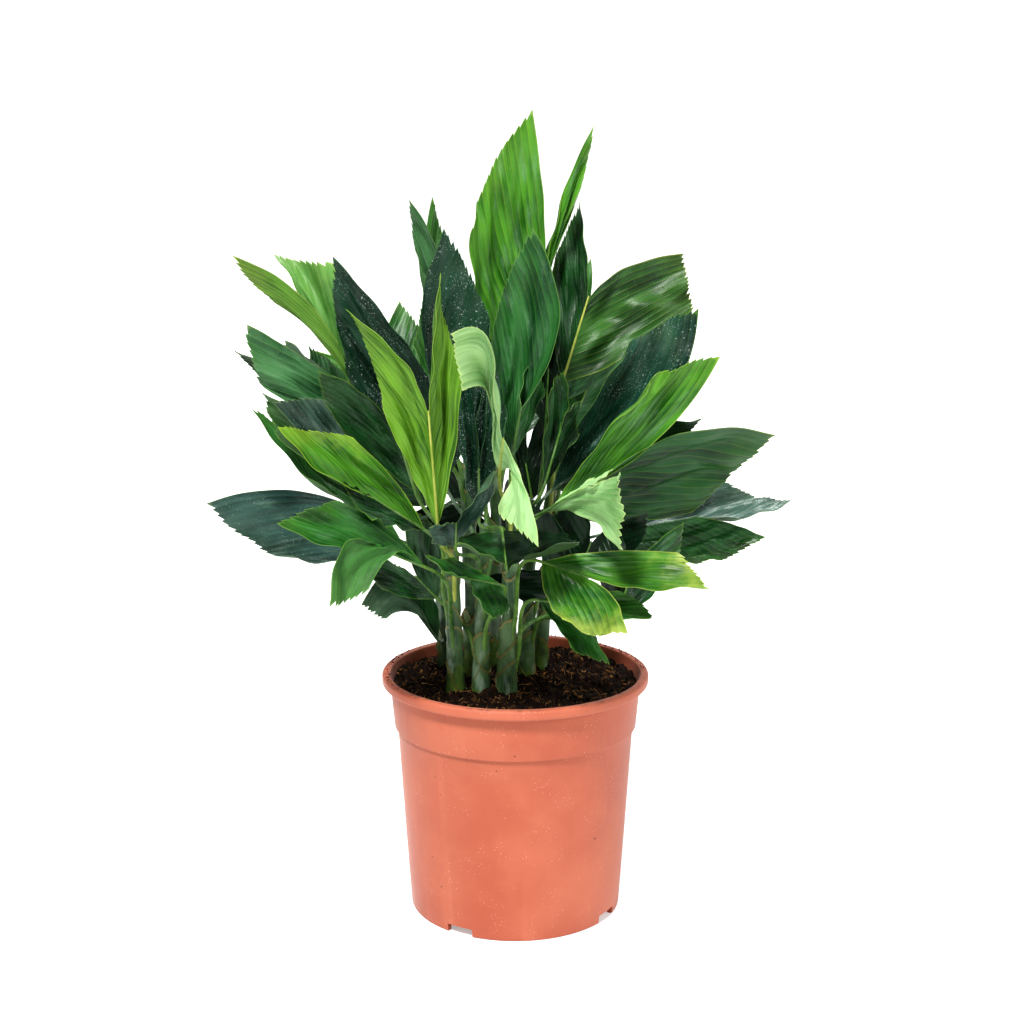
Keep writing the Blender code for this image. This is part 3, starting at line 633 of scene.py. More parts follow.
def cane_radius(name, height):
    """Stout at the soil, then slimmer within a few centimetres, as the old sheaths fall away."""
    _, high, radius, _ = CANES[name]
    share = np.clip((height - SOIL_LEVEL) / (high[2] - SOIL_LEVEL), 0, 1)
    waist = CANE_WAIST + (1 - CANE_WAIST) * math.exp(-max(height - SOIL_LEVEL, 0) / CANE_FLARE)
    return radius * waist * (1 - (1 - CANE_TAPER) * share)


def sleeve(name, low, high, azimuth, slant, cover, torn, random):
    """A leaf sheath wrapped round a cane: a tight sleeve whose mouth slopes up to one side.

    cover is how far it stands proud of the cane, and torn how ragged its edge is. Also returns each
    point's distance to the mouth.
    """
    ragged = random.uniform(0, 1, CANE_SIDES)
    points, margins = [], []
    for share, proud in SHEATH_RINGS:
        for i in range(CANE_SIDES):
            a = 2 * math.pi * i / CANE_SIDES
            side_share = 0.5 - 0.5 * math.cos(a - math.radians(azimuth))
            mouth = high - slant * side_share ** 1.3 - torn * ragged[i]
            height = low + (mouth - low) * share
            radius = cane_radius(name, height) + cover * proud
            points.append(cane_middle(name, height) + around(radius, a))
            margins.append((1 - share) * (mouth - low))
    return points, ring_faces(len(SHEATH_RINGS), CANE_SIDES), margins


def stalk_group():
    """Green stem tissue: lengthwise fibres, a paler bloom and a few brown scars. The distance to a
    sheath's mouth gives it a brown torn rim with a pale dry band under it."""
    inputs = [
        ("Young", "Color", srgb(150, 180, 95)),
        ("Old", "Color", srgb(70, 100, 60)),
        ("Bloom", "Float", 0.4),
        ("Scars", "Float", 0.2),
    ]
    tree, n, given, out = new_group("stalk tissue", inputs, TISSUE_OUTPUTS)
    place = n.place()
    fibres = n.noise(n.stretch(place, 900, 900, 30), 1.0)
    patches = n.noise(place, 55.0, 4.0, 0.6)
    cloudy = n.noise(n.stretch(place, 1, 1, 0.4), 120.0)
    scars = n.step(n.noise(place, 150.0, 5.0, 0.65), 0.66, 0.72)
    rim = n.plus(n.stored("margin_mm"), n.times(n.noise(place, 260.0, 4.0, 0.6), 2.4))
    colour = n.layers(
        given["Old"],
        (n.step(patches, 0.35, 0.65), given["Young"]),
        (n.step(fibres, 0.42, 0.62, 0.0, 0.5), given["Young"]),
        (n.times(n.step(cloudy, 0.52, 0.68), given["Bloom"]), srgb(176, 196, 176)),
        (n.times(scars, given["Scars"]), srgb(96, 66, 34)),
        (n.step(rim, 2.0, 9.0, 0.7, 0.0), given["Young"]),
        (n.step(rim, 2.2, 4.0, 0.5, 0.0), srgb(168, 140, 88)),
        (n.step(rim, 0.7, 1.3, 0.8, 0.0), srgb(84, 52, 26)))
    rough = n.step(patches, 0.3, 0.7, 0.5, 0.36)
    n.feed(out, {"Colour": colour, "Roughness": rough, "Height": fibres})
    return tree


STALK_TISSUE = stalk_group()


def tissue_material(name, group, inputs, strength, fixed):
    """A plant material: a tissue group with its own values, and what is fixed on the shader."""
    made, n, shader = new_material(name)
    tissue = n.add("ShaderNodeGroup", inputs, node_tree=group).outputs
    n.feed(shader, {"Base Color": tissue["Colour"], "Roughness": tissue["Roughness"],
                    "Normal": n.bump(tissue["Height"], strength, 0.3), **fixed})
    return made


def stalk_material(name, young, old, bloom, scars):
    inputs = {"Young": young, "Old": old, "Bloom": bloom, "Scars": scars}
    return tissue_material(name, STALK_TISSUE, inputs, 0.25, {})


cane_green = stalk_material("cane_green", srgb(84, 120, 74), srgb(18, 40, 26), 0.4, 0.25)
old_sheath = stalk_material("old_sheath", srgb(100, 132, 54), srgb(24, 54, 28), 0.3, 0.7)


def make_cane(name, random):
    heights = np.arange(SOIL_LEVEL - CANE_BURIED + 1, CANES[name][1][2], 1.6)
    path = [cane_middle(name, h) for h in heights]
    first_ring = random.uniform(0, CANE_RING_SPACING)
    radii = []
    for h in heights:
        to_ring = (h - first_ring) % CANE_RING_SPACING
        swelling = CANE_RING_SWELLING * math.exp(-((to_ring - 3) / 1.6) ** 2)
        swelling -= CANE_RING_GROOVE * math.exp(-((to_ring - 5.5) / 1.2) ** 2)
        wobble = CANE_WOBBLE * math.sin(0.21 * h + 5 * first_ring)
        radii.append(cane_radius(name, h) + swelling + wobble)
    radii[0] *= 0.6
    radii[-1] *= 0.4
    parts = [tube(path, radii, CANE_SIDES)]
    margins = [FAR_FROM_EDGE] * len(parts[0][0])
    for number, (height, azimuth, slant) in enumerate(CANES[name][3]):
        *sheath, mouth_distances = sleeve(name, SOIL_LEVEL - 3, height, azimuth, slant,
                                          OLD_SHEATH_COVER * (number + 1), SHEATH_TORN, random)
        parts.append(sheath)
        margins += mouth_distances
    points, faces, counts = join(parts)
    cane = add_piece(name + "_stem", points, faces, [cane_green, old_sheath], 50)
    cane.data.polygons.foreach_set("material_index", np.repeat([0, 1, 1], counts))
    store(cane, "margin_mm", margins)
    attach(cane, "root")
    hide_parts(name)


for number, cane_name in enumerate(CANES):
    make_cane(cane_name, np.random.RandomState(100 + number))


# The leaves: each is one forked blade on a thin stalk. The stalk grows out of a sheath wrapped round
# the cane, runs on as the midrib between two pleated lobes, and stops at the fork. The veins run from
# the midrib to a toothed end. The finish goes from lime to near black, the darkest of it painted shade,
# with a metallic sheen painted in silver patches.
PETIOLE_RADIUS = 1.9
FOOT_GAP = 0.26
RIB_WIDTH = 1.2
BLADE_THICK = 0.55
BLADE_ROWS = 27
VEIN_SPACING = 4.4
VEIN_COUNTS = (5, 15)
VEIN_PHASES = (0.04, 0.27, 0.5, 0.73, 0.96)
TOOTH_DEPTH = 2.6
SWELL_LENGTH = 46.0
SWELL_WIDTH = 30.0
SHEATH_LENGTH = 30.0

# What a finish is made of: a darker and a lighter green, the colour of the margin, then how strongly it
# shows pale veins, lengthwise streaks, painted silver sheen in patches, dust, and a tip in the margin's
# colour
LOOK_LABELS = ("Deep", "Light", "Margin", "Veins", "Streaks", "PaintedSheen", "Dust", "Tip")
LOOKS = {
    "striped": (srgb(40, 90, 8), srgb(110, 160, 46), srgb(158, 190, 76), 0.4, 0.8, 0.0, 0.0, 0.1),
    "lime": (srgb(10, 68, 12), srgb(82, 146, 42), srgb(168, 198, 66), 0.3, 0.3, 0.05, 0.0, 0.35),
    "bright": (srgb(12, 78, 14), srgb(88, 156, 42), srgb(150, 186, 68), 0.25, 0.25, 0.5, 0.05, 0.15),
    "mid": (srgb(8, 60, 20), srgb(56, 124, 48), srgb(120, 164, 66), 0.2, 0.2, 0.3, 0.1, 0.2),
    "silvered": (srgb(6, 54, 24), srgb(50, 114, 52), srgb(112, 158, 76), 0.2, 0.2, 0.45, 0.1, 0.1),
    "silver": (srgb(20, 72, 38), srgb(82, 136, 84), srgb(120, 154, 86), 0.2, 0.25, 0.6, 0.15, 0.1),
    "forest": (srgb(1, 26, 9), srgb(26, 90, 34), srgb(124, 156, 60), 0.2, 0.3, 0.12, 0.0, 0.1),
    "grey": (srgb(14, 40, 34), srgb(66, 98, 86), srgb(110, 134, 88), 0.15, 0.35, 0.5, 0.3, 0.15),
    "blue_grey": (srgb(16, 42, 40), srgb(66, 98, 90), srgb(98, 124, 80), 0.15, 0.4, 0.4, 0.25, 0.1),
    "dark": (srgb(3, 32, 13), srgb(24, 80, 32), srgb(100, 136, 50), 0.15, 0.2, 0.28, 0.15, 0.1),
    # A near black finish that paints in the shade inside the crown and in the hollow of the cupped leaf
    "painted_shade": (srgb(2, 18, 9), srgb(12, 44, 20), srgb(34, 66, 26), 0.1, 0.2, 0.0, 0.1, 0.0),
    "dusty": (srgb(1, 30, 20), srgb(14, 66, 42), srgb(60, 106, 50), 0.1, 0.2, 0.15, 0.8, 0.1),
    "dusty_blue": (srgb(3, 34, 26), srgb(34, 90, 70), srgb(104, 148, 56), 0.15, 0.25, 0.25, 0.7, 0.1),
    "olive": (srgb(12, 44, 10), srgb(60, 110, 42), srgb(136, 152, 52), 0.2, 0.25, 0.15, 0.1, 0.1),
    "olive_pale": (srgb(34, 82, 14), srgb(94, 142, 44), srgb(160, 180, 76), 0.25, 0.3, 0.0, 0.0, 0.2),
    "pale": (srgb(56, 116, 40), srgb(112, 166, 84), srgb(168, 196, 104), 0.25, 0.3, 0.1, 0.0, 0.2),
    "yellowing": (srgb(14, 78, 18), srgb(80, 138, 40), srgb(176, 192, 88), 0.14, 0.15, 0.25, 0.05, 0.7),
    "underside": (srgb(110, 162, 94), srgb(176, 218, 152), srgb(196, 220, 140), 0.3, 0.25, 0.0, 0.0, 0.2),
}
# Painted sheen: a pale silver laid in patches over the leaf colour, in place of light reflected by the
# glossy blade
PAINTED_SHEEN = srgb(150, 186, 160)
UNDER_GREEN = srgb(112, 154, 90)
DUST_WHITE = srgb(196, 210, 204)
SPOT_BROWN = srgb(92, 78, 34)


def leaf_group():
    """Leaf tissue along its own veins: the blade map holds the vein number across and the share of
    the way from midrib to end along. A painted sheen lies in silver patches stretched along the veins."""
    inputs = [(label, "Color", srgb(90, 150, 70)) for label in LOOK_LABELS[:3]]
    inputs += [(label, "Float", 0.2) for label in LOOK_LABELS[3:] + ("Seed",)]
    tree, n, given, out = new_group("leaf tissue", inputs, TISSUE_OUTPUTS)
    place = n.place()
    blade = n.add("ShaderNodeUVMap", uv_map="blade").outputs["UV"]
    split = n.add("ShaderNodeSeparateXYZ", {"Vector": blade})
    vein_number, along = split.outputs["X"], split.outputs["Y"]
    seeded = n.add("ShaderNodeCombineXYZ", {"X": vein_number, "Y": along, "Z": given["Seed"]}).outputs[0]
    under = n.stored("underside")

    from_middle = n.math("ABSOLUTE", n.math("SUBTRACT", n.math("FRACT", vein_number), 0.5))
    vein_line = n.step(from_middle, 0.4, 0.485)
    # One side of each pleat is painted lighter, a painted highlight.
    slope_light = n.step(n.math("FRACT", vein_number), 0.1, 0.9)
    minor = n.noise(n.stretch(seeded, 9.0, 1.6, 1.0), 1.0, 3.0, 0.6)
    broad = n.noise(n.stretch(seeded, 0.28, 2.2, 1.0), 1.0, 3.0, 0.55)
    # shade mixes the two greens by broad and fine noise, partly the leaf's own mottling and partly painted
    # light and shadow on its undulations, with the painted pleat highlight added.
    shade = n.plus(n.times(broad, 1.05), n.times(slope_light, 0.09), n.times(minor, 0.34))
    bands = n.noise(n.stretch(seeded, 1.15, 0.7, 1.0, (3, 7, 1)), 1.0, 2.0)
    # Where the painted silver sheen lies
    sheen_patches = n.noise(n.stretch(seeded, 0.55, 3.6, 1.0, (11, 2, 5)), 1.0, 4.0, 0.62)
    grain = n.step(n.noise(place, 1500.0, 2.0), 0.3, 0.6, 0.3, 0.6)
    at_edge = n.step(n.plus(n.stored("margin_mm"), n.times(minor, 0.8)), 0.5, 1.3, 0.7, 0.0)
    blotches = n.noise(place, 62.0, 4.0, 0.6)
    at_tip = n.step(n.plus(along, n.times(blotches, 0.9)), 1.14, 1.55)
    film = n.times(n.step(n.noise(place, 38.0, 5.0, 0.65), 0.5, 0.8), given["Dust"])
    grains = n.specks(place, 820.0, 0.3, 70.0, 0.38, 0.62)
    drops = n.specks(place, 330.0, 0.2, 55.0, 0.46, 0.6)
    spots = n.specks(place, 260.0, 0.16, 48.0, 0.6, 0.7)
    colour = n.layers(
        given["Deep"],
        (n.step(shade, 0.5, 0.92), given["Light"]),
        (n.times(n.step(bands, 0.42, 0.62), given["Streaks"], 0.8), given["Light"]),
        (n.times(n.step(bands, 0.3, 0.46, 1.0, 0.0), given["Streaks"], 0.6), given["Deep"]),
        # Painted sheen, in silver patches
        (n.times(n.step(sheen_patches, 0.5, 0.74), given["PaintedSheen"], grain), PAINTED_SHEEN),
        (n.times(vein_line, given["Veins"]), given["Margin"]),
        (at_edge, given["Margin"]),
        (n.times(at_tip, given["Tip"]), given["Margin"]),
        (n.times(grains, given["Dust"], 0.6), DUST_WHITE),
        (n.times(drops, given["Dust"], 0.75), DUST_WHITE),
        (n.times(film, 0.16), DUST_WHITE),
        (n.times(spots, 0.5), SPOT_BROWN),
        (n.times(under, 0.2), UNDER_GREEN))

    rough = n.step(n.plus(minor, n.times(film, 0.6)), 0.3, 1.1, 0.33, 0.5)
    height = n.plus(n.times(vein_line, 0.7), n.times(minor, 0.9), n.times(n.noise(place, 420.0), 0.35))
    n.feed(out, {"Colour": colour, "Roughness": n.plus(rough, n.times(under, 0.14)), "Height": height})
    return tree


LEAF_TISSUE = leaf_group()


def leaf_material(name, look, seed):
    gloss = {"Specular IOR Level": 0.3, "Coat Weight": 0.12, "Coat Roughness": 0.45}
    inputs = dict(zip(LOOK_LABELS, LOOKS[look]), Seed=seed)
    return tissue_material(name, LEAF_TISSUE, inputs, 0.4, gloss)


STALKS = {
    "green": stalk_material("stalk_green", srgb(118, 160, 70), srgb(56, 100, 40), 0.2, 0.1),
    "yellow": stalk_material("stalk_yellow", srgb(196, 202, 98), srgb(146, 168, 62), 0.1, 0.1),
    "grey": stalk_material("stalk_grey", srgb(96, 126, 90), srgb(46, 74, 50), 0.5, 0.15),
}
leaf_sheath = stalk_material("leaf_sheath", srgb(96, 130, 80), srgb(42, 74, 50), 0.45, 0.3)


def turned_about(v, axis, degrees):
    axis = unit(axis)
    a = math.radians(degrees)
    along = axis * np.dot(axis, v) * (1 - math.cos(a))
    return v * math.cos(a) + np.cross(axis, v) * math.sin(a) + along


def curve2(a, handle, b, t):
    t = np.asarray(t, dtype=float)[..., None]
    return (1 - t) ** 2 * a + 2 * t * (1 - t) * handle + t * t * b


def curve3(a, leave, arrive, b, t):
    t = np.asarray(t, dtype=float)[..., None]
    return (1 - t) ** 3 * a + 3 * t * (1 - t) ** 2 * leave + 3 * t * t * (1 - t) * arrive + t ** 3 * b


def smooth(value, low, high):
    share = np.clip((value - low) / (high - low), 0, 1)
    return share * share * (3 - 2 * share)


def lobe(tip, width, along=0.6, shoulder=None, inner=None, end=0.1, belly=0.95, cup=None, roll=0.0,
         bend=(0, 0, 0), peak=0.5, look=None, pleat=0.13, wave=2.4, ruffle=0.8, ripple=0.0, curl=2.0,
         teeth=TOOTH_DEPTH):
    """One lobe of a leaf, from the midrib to its toothed end.

    tip is the inner point of the toothed end. The end runs from there to the shoulder, which is
    given, or lies at a fraction along the lobe and width out from it. inner and belly swell the two
    long edges, end swells the toothed end, cup hollows the lobe, roll turns it about its length, and
    bend lifts it by a vector that is greatest at peak. pleat is the height of its pleats, wave and
    ripple how far it undulates, ruffle how far its long edges do, and curl how far its end turns back.
    """
    return dict(tip=vec(*tip), width=width, along=along, shoulder=shoulder, inner=inner, end=end,
                belly=belly, cup=cup, roll=roll, bend=vec(*bend), peak=peak, look=look, pleat=pleat,
                wave=wave, ruffle=ruffle, ripple=ripple, curl=curl, teeth=teeth)


def towards(v, way):
    """v, or its opposite where that lies closer to the way."""
    return -v if np.dot(v, way) < 0 else v


def lobe_corners(base, fork, this, other, facing):
    """The lobe's shoulder and the handles of its two long edges and its end."""
    tip, width = this["tip"], this["width"]
    length_way = unit(tip - base)
    length = np.linalg.norm(tip - base)
    out = towards(unit(np.cross(length_way, facing)), tip - other["tip"])
    turn = 1 if np.dot(np.cross(length_way, out), facing) > 0 else -1
    out = turned_about(out, length_way, this["roll"] * turn)
    if this["shoulder"] is None:
        outer_middle = base + this["along"] * (tip - base)
        shoulder = outer_middle + width * out
    else:
        outer_middle = shoulder = vec(*this["shoulder"])
    outer_handle = base + 0.38 * (outer_middle - base) + this["belly"] * width * out
    inner = 0.06 * length if this["inner"] is None else this["inner"]
    inner_handle = (fork + tip) / 2 - out * 2 * inner
    end_way = unit(0.2 * (tip - base) + 0.5 * length * out)
    end_handle = (tip + shoulder) / 2 + this["end"] * np.linalg.norm(tip - shoulder) * end_way
    hollow = towards(unit(np.cross(length_way, out)), facing)
    return shoulder, outer_handle, inner_handle, end_handle, hollow, length


def lobe_surface(base, fork, this, other, facing, u, v):
    """Points at share u of the way from midrib to end, and share v from fork edge to base edge."""
    tip = this["tip"]
    shoulder, outer_handle, inner_handle, end_handle, hollow, length = lobe_corners(
        base, fork, this, other, facing)
    rib = fork + v[..., None] * (base - fork)
    end = curve2(tip, end_handle, shoulder, v)
    inner_edge = curve2(fork, inner_handle, tip, u)
    outer_edge = curve2(base, outer_handle, shoulder, u)
    u, v = u[..., None], v[..., None]
    sheet = (1 - u) * rib + u * end + (1 - v) * inner_edge + v * outer_edge
    sheet = sheet - (1 - u) * (1 - v) * fork - (1 - u) * v * base - u * (1 - v) * tip - u * v * shoulder
    peak = this["peak"]
    power = peak / (1 - peak)
    rise = u ** power * (1 - u) / (peak ** power * (1 - peak))
    cup = 0.05 * length if this["cup"] is None else this["cup"]
    sheet = sheet + this["bend"] * rise
    sheet = sheet - hollow * cup * 4 * v * (1 - v) * np.minimum(1, 2.5 * u)
    rib_side = towards(unit(np.cross(unit(fork - base), facing)), tip - other["tip"])
    return sheet + rib_side * 0.5 * RIB_WIDTH * (1 - u) ** 3


def sheet_normals(sheet, facing):
    """Normals of a grid of points on the facing side, and whether they follow the grid's own turn."""
    normals = np.cross(np.gradient(sheet, axis=0), np.gradient(sheet, axis=1))
    normals = normals / np.maximum(np.linalg.norm(normals, axis=2, keepdims=True), 1e-9)
    follows = np.dot(normals[1:4].mean(axis=(0, 1)), facing) > 0
    return (normals if follows else -normals), follows


def make_lobe(base, fork, this, other, facing, random):
    """A thin closed blade with pleats, waves and a toothed end.

    Returns its points and faces, its blade map, the distances to its margin and its underside.
    """
    plain = np.linspace(0, 1, 5)
    rough_grid = lobe_surface(base, fork, this, other, facing, *np.meshgrid(plain, plain, indexing="ij"))
    widths = np.linalg.norm(np.diff(rough_grid, axis=1), axis=2).sum(axis=1)
    length = np.linalg.norm(np.diff(rough_grid, axis=0), axis=2).sum(axis=0).mean()
    veins = int(np.clip(round(max(widths) / VEIN_SPACING), *VEIN_COUNTS))
    tooth_sizes = random.uniform(0.35, 1.0, veins) * this["teeth"]
    places = [0.0] + [(k + phase) / veins for k in range(veins) for phase in VEIN_PHASES] + [1.0]
    cuts = [0.0] + [size * phase for size in tooth_sizes for phase in VEIN_PHASES] + [tooth_sizes[-1]]
    rows = np.linspace(0, 1, BLADE_ROWS) ** 1.05
    u, v = np.meshgrid(rows, places, indexing="ij")
    sheet = lobe_surface(base, fork, this, other, facing, u - np.array(cuts) / length * u ** 7, v)
    normals, _ = sheet_normals(sheet, facing)

    shift = random.uniform(0, 2 * math.pi, 6)
    strength = random.uniform(0.6, 1.3, veins + 2)
    vein_strength = np.interp(v * veins, np.arange(veins + 2), strength)
    turn = 2 * math.pi
    free = smooth(u, 0.02, 0.28)
    out = 2 * v - 1
    across = np.interp(rows, plain, widths)[:, None]
    x, y = v * across, u * length
    pleats = vein_strength * np.cos(turn * veins * v) * (1 - 0.3 * u)
    pleats += 1.3 * np.sin(turn * veins * v / 3.7 + shift[0])
    swell_across = 1.4 * np.sin(turn * x / SWELL_WIDTH + shift[1])
    waves = 0.6 * np.sin(turn * y / SWELL_LENGTH + swell_across + shift[2])
    waves += 0.5 * np.sin(turn * (x + 0.35 * y) / SWELL_WIDTH + shift[5])
    waves += 0.4 * np.sin(turn * 0.9 * u + shift[1]) * out * u
    ruffles = np.abs(out) ** 3 * np.sin(turn * 2.9 * u + shift[3] + 2 * out)
    height = this["pleat"] * pleats + this["wave"] * waves * (1 - 0.65 * np.abs(out) ** 3)
    height += this["ruffle"] * ruffles + this["ripple"] * np.sin(turn * (3.6 * u + 0.5 * v) + shift[4])
    height = height * free - this["curl"] * u ** 5 * (0.6 + 0.4 * np.cos(turn * 1.4 * v + shift[5]))
    sheet = sheet + normals * height[..., None]
    normals, follows = sheet_normals(sheet, facing)

    margin = np.minimum(np.minimum(v, 1 - v) * across, (1 - u) * length)
    half = BLADE_THICK / 2 * (0.45 + 0.55 * np.minimum(margin, 1.0))[..., None]
    points = np.stack([sheet + normals * half, sheet - normals * half]).reshape(-1, 3)
    points = np.clip(points, np.array(built_box[0]) / MM, np.array(built_box[1]) / MM)
    grid = np.arange(u.size).reshape(u.shape)
    upper = np.stack([grid[:-1, :-1], grid[1:, :-1], grid[1:, 1:], grid[:-1, 1:]], axis=-1).reshape(-1, 4)
    border = np.concatenate([grid[:, 0], grid[-1, 1:], grid[-2::-1, -1], grid[0, -2::-1]])
    start, stop = border[:-1], border[1:]
    rim = np.stack([start, start + u.size, stop + u.size, stop], axis=-1)
    faces = np.concatenate([upper, upper[:, [0, 3, 2, 1]] + u.size, rim])
    if not follows:
        faces = faces[:, ::-1]
    blade_map = np.tile(np.stack([v * veins, u], axis=-1).reshape(-1, 2), (2, 1))
    return points, faces.tolist(), blade_map, np.tile(margin.ravel(), 2), np.repeat([0.0, 1.0], u.size)


def store_blade(piece, lobes, mouth_distances):
    """Store the blade map, the distance to the margin and the underside on the leaf's mesh."""
    mesh = piece.data
    total = len(mesh.vertices)
    blade_map, lobe_margins, lobe_under = (np.concatenate(values) for values in zip(*lobes))
    blade_points = len(lobe_margins)
    plain = np.zeros(total - blade_points)
    margins = np.concatenate([lobe_margins, plain + FAR_FROM_EDGE])
    margins[total - len(mouth_distances):] = mouth_distances
    store(piece, "margin_mm", margins)
    store(piece, "underside", np.concatenate([lobe_under, plain]))
    blade_map = np.concatenate([blade_map, np.stack([plain, plain], axis=-1)]).astype(np.float32)
    corner_points = np.zeros(len(mesh.loops), dtype=np.int32)
    mesh.loops.foreach_get("vertex_index", corner_points)
    mesh.uv_layers.new(name="blade").data.foreach_set("uv", blade_map[corner_points].ravel())


leaf_numbers = itertools.count(1)


def leaf(name, cane, height, azimuth, base, fork, left, right, look=None, faces=None,
         side=(0, -1, 0.35), stalk="green"):
    """A leaf: its stalk leaves the cane at a height and azimuth, and the blade runs base to fork.

    look is the finish of the lobes that have none of their own. faces sets the way the blade faces.
    Otherwise it lies in the plane of its base and its two tips, and faces the way that side points.
    """
    number = next(leaf_numbers)
    random = np.random.RandomState(1000 + number)
    azimuth_way = around(1.0, math.radians(azimuth))
    foot_radius = cane_radius(cane, height)
    foot = cane_middle(cane, height) + azimuth_way * (foot_radius + PETIOLE_RADIUS + FOOT_GAP)
    base, fork = vec(*base), vec(*fork)
    if faces is None:
        facing = towards(unit(np.cross(left["tip"] - base, right["tip"] - base)), vec(*side))
    else:
        facing = unit(vec(*faces))

    cane_low, cane_high = vec(*CANES[cane][0], SOIL_LEVEL), vec(*CANES[cane][1])
    rise = unit(unit(cane_high - cane_low) + 0.12 * azimuth_way)
    rib_way = unit(fork - base)
    pull = 0.35 * np.linalg.norm(base - foot)
    path = [cane_middle(cane, height - 16) + azimuth_way * (foot_radius - 0.4)]
    path.append(cane_middle(cane, height - 7) + azimuth_way * (foot_radius + 0.5))
    path += list(curve3(foot, foot + rise * pull, base - rib_way * pull, base, np.linspace(0.06, 1, 18)))
    radii = list(np.linspace(1.5, 0.95, len(path))) + list(np.linspace(0.9, 0.55, 8)) + [0.2]
    path += [base + share * (fork - base) for share in np.linspace(0, 1, 9)[1:]]
    path.append(fork + 1.2 * rib_way)

    blades = [make_lobe(base, fork, this, other, facing, random)
              for this, other in ((left, right), (right, left))]
    cover = 0.35 + 0.008 * (cane_high[2] - height) + 0.12 * (number % 3)
    *sheath, mouth_distances = sleeve(cane, height - SHEATH_LENGTH, height + 1.5, azimuth,
                                      random.uniform(9, 17), cover, random.uniform(0.3, 1.6), random)
    points, mesh_faces, counts = join([*(blade[:2] for blade in blades), tube(path, radii, 10), sheath])
    looks = [leaf_material("%s_tissue_%d" % (name, n + 1), this["look"] or look, 7.3 * number + 3 * n)
             for n, this in enumerate((left, right))]
    piece = add_piece(name + "_blade", points, mesh_faces, [*looks, STALKS[stalk], leaf_sheath], 60)
    piece.data.polygons.foreach_set("material_index", np.repeat(np.arange(4), counts))
    store_blade(piece, [blade[2:] for blade in blades], mouth_distances)
    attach(piece, "root")
    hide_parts(name)


# Front of the crown, from the left round to the right
leaf("leaf_front_striped", "cane_front_left", 222, -75, (-45, -88, 269), (-49, -101, 336),
     lobe((-94, -109, 393), 2, along=0.5, inner=8, end=-0.12),
     lobe((-41, -96, 413), 12, along=0.62, inner=1, end=-0.04),
     look="striped", stalk="yellow")
leaf("leaf_front_left_lime", "cane_front_left", 206, -155, (-54, -70, 262), (-80, -86, 283),
     lobe((-131, -112, 330), 20, along=0.62, look="lime"),
     lobe((-98, -96, 295), 9, inner=1, look="dark", ruffle=2.0))
leaf("leaf_front_left_drooping", "cane_front_left", 190, -105, (-54, -72, 240), (-78, -88, 254),
     lobe((-132, -127, 278), 24, along=0.62),
     lobe((-105, -131, 231), 1, inner=5, bend=(-2, 0, 15), curl=0.5), look="mid")
leaf("leaf_front_small_grey", "cane_front_middle", 222, -105, (-35, -81, 255), (-34, -96, 271),
     lobe((-47, -122, 274), 6),
     lobe((-9, -109, 303), 8, along=0.7), look="grey")
leaf("leaf_front_low_small", "cane_front_middle", 185, -70, (-9, -49, 223), (-27, -70, 232),
     lobe((-52, -88, 251), 6, inner=3),
     lobe((-14, -81, 212), 11, along=0.5, inner=5), look="mid")
# Its first lobe has the near black finish, with the shadow in its hollow painted in
leaf("leaf_front_cupped", "cane_front_middle", 210, -70, (-8, -55, 258), (-5, -104, 245),
     lobe((35, -120, 268), 15, inner=8, look="painted_shade"),
     lobe((-32, -127, 268), 10, inner=6, look="dark"), side=(0, -0.6, 0.8))
leaf("leaf_front_curled", "cane_front_right", 250, -95, (-9, -91, 301), (-7, -104, 321),
     lobe((-34, -146, 383), 6, inner=3, bend=(9, 0, 14), peak=0.72, teeth=1.0),
     lobe((14, -135, 267), 14, shoulder=(-10, -140, 289), inner=3, belly=-1.5, cup=0),
     look="underside", faces=(-0.35, -0.9, 0.1), stalk="yellow")
leaf("leaf_front_right_hanging", "cane_front_right", 246, -60, (17, -81, 275), (36, -104, 292),
     lobe((60, -126, 306), 14, shoulder=(59, -146, 263), inner=0, belly=-1.5, cup=1, end=0.04,
          ruffle=2.0, teeth=4.5),
     lobe((56, -82, 300), 4, inner=1, cup=1), look="underside", faces=(-0.6, -0.3, 0.7))
leaf("leaf_low_right_yellowing", "cane_front_right", 195, -50, (16, -78, 244), (41, -99, 240),
     lobe((107, -138, 245), 20, along=0.74, inner=6),
     lobe((60, -146, 221), 19, along=0.6, inner=6), look="yellowing")
leaf("leaf_low_right_small", "cane_front_right", 168, -15, (15, -62, 217), (32, -78, 218),
     lobe((77, -112, 222), 11, along=0.7, inner=6),
     lobe((52, -112, 192), 6), look="mid")

# Left side
leaf("leaf_left_long_grey", "cane_middle_left", 240, -155, (-72, -10, 242), (-105, -20, 268),
     lobe((-183, -58, 275), 25, along=0.5, inner=9, look="blue_grey"),
     lobe((-162, -6, 326), 15, look="mid"), stalk="grey")
leaf("leaf_low_left_small", "cane_back_left", 165, -100, (-50, 10, 172), (-66, 4, 196),
     lobe((-97, -13, 201), 3, along=0.7, inner=7, cup=0, bend=(0, 0, 13), look="grey"),
     lobe((-76, 16, 222), 14, inner=6, cup=1, look="dark"), stalk="grey")
leaf("leaf_left_dark", "cane_front_left", 240, -120, (-60, -55, 283), (-71, -65, 323),
     lobe((-112, -88, 357), 10, along=0.68, inner=5),
     lobe((-71, -73, 355), 6), look="dark")
leaf("leaf_left_silvery", "cane_middle_left", 258, -125, (-67, -39, 264), (-100, -40, 284),
     lobe((-153, -22, 338), 16, along=0.8, look="dark"),
     lobe((-140, -68, 337), 20, shoulder=(-106, -64, 335), inner=1, belly=0.3, look="grey"),
     faces=(-0.2, -1, 0.25), stalk="grey")
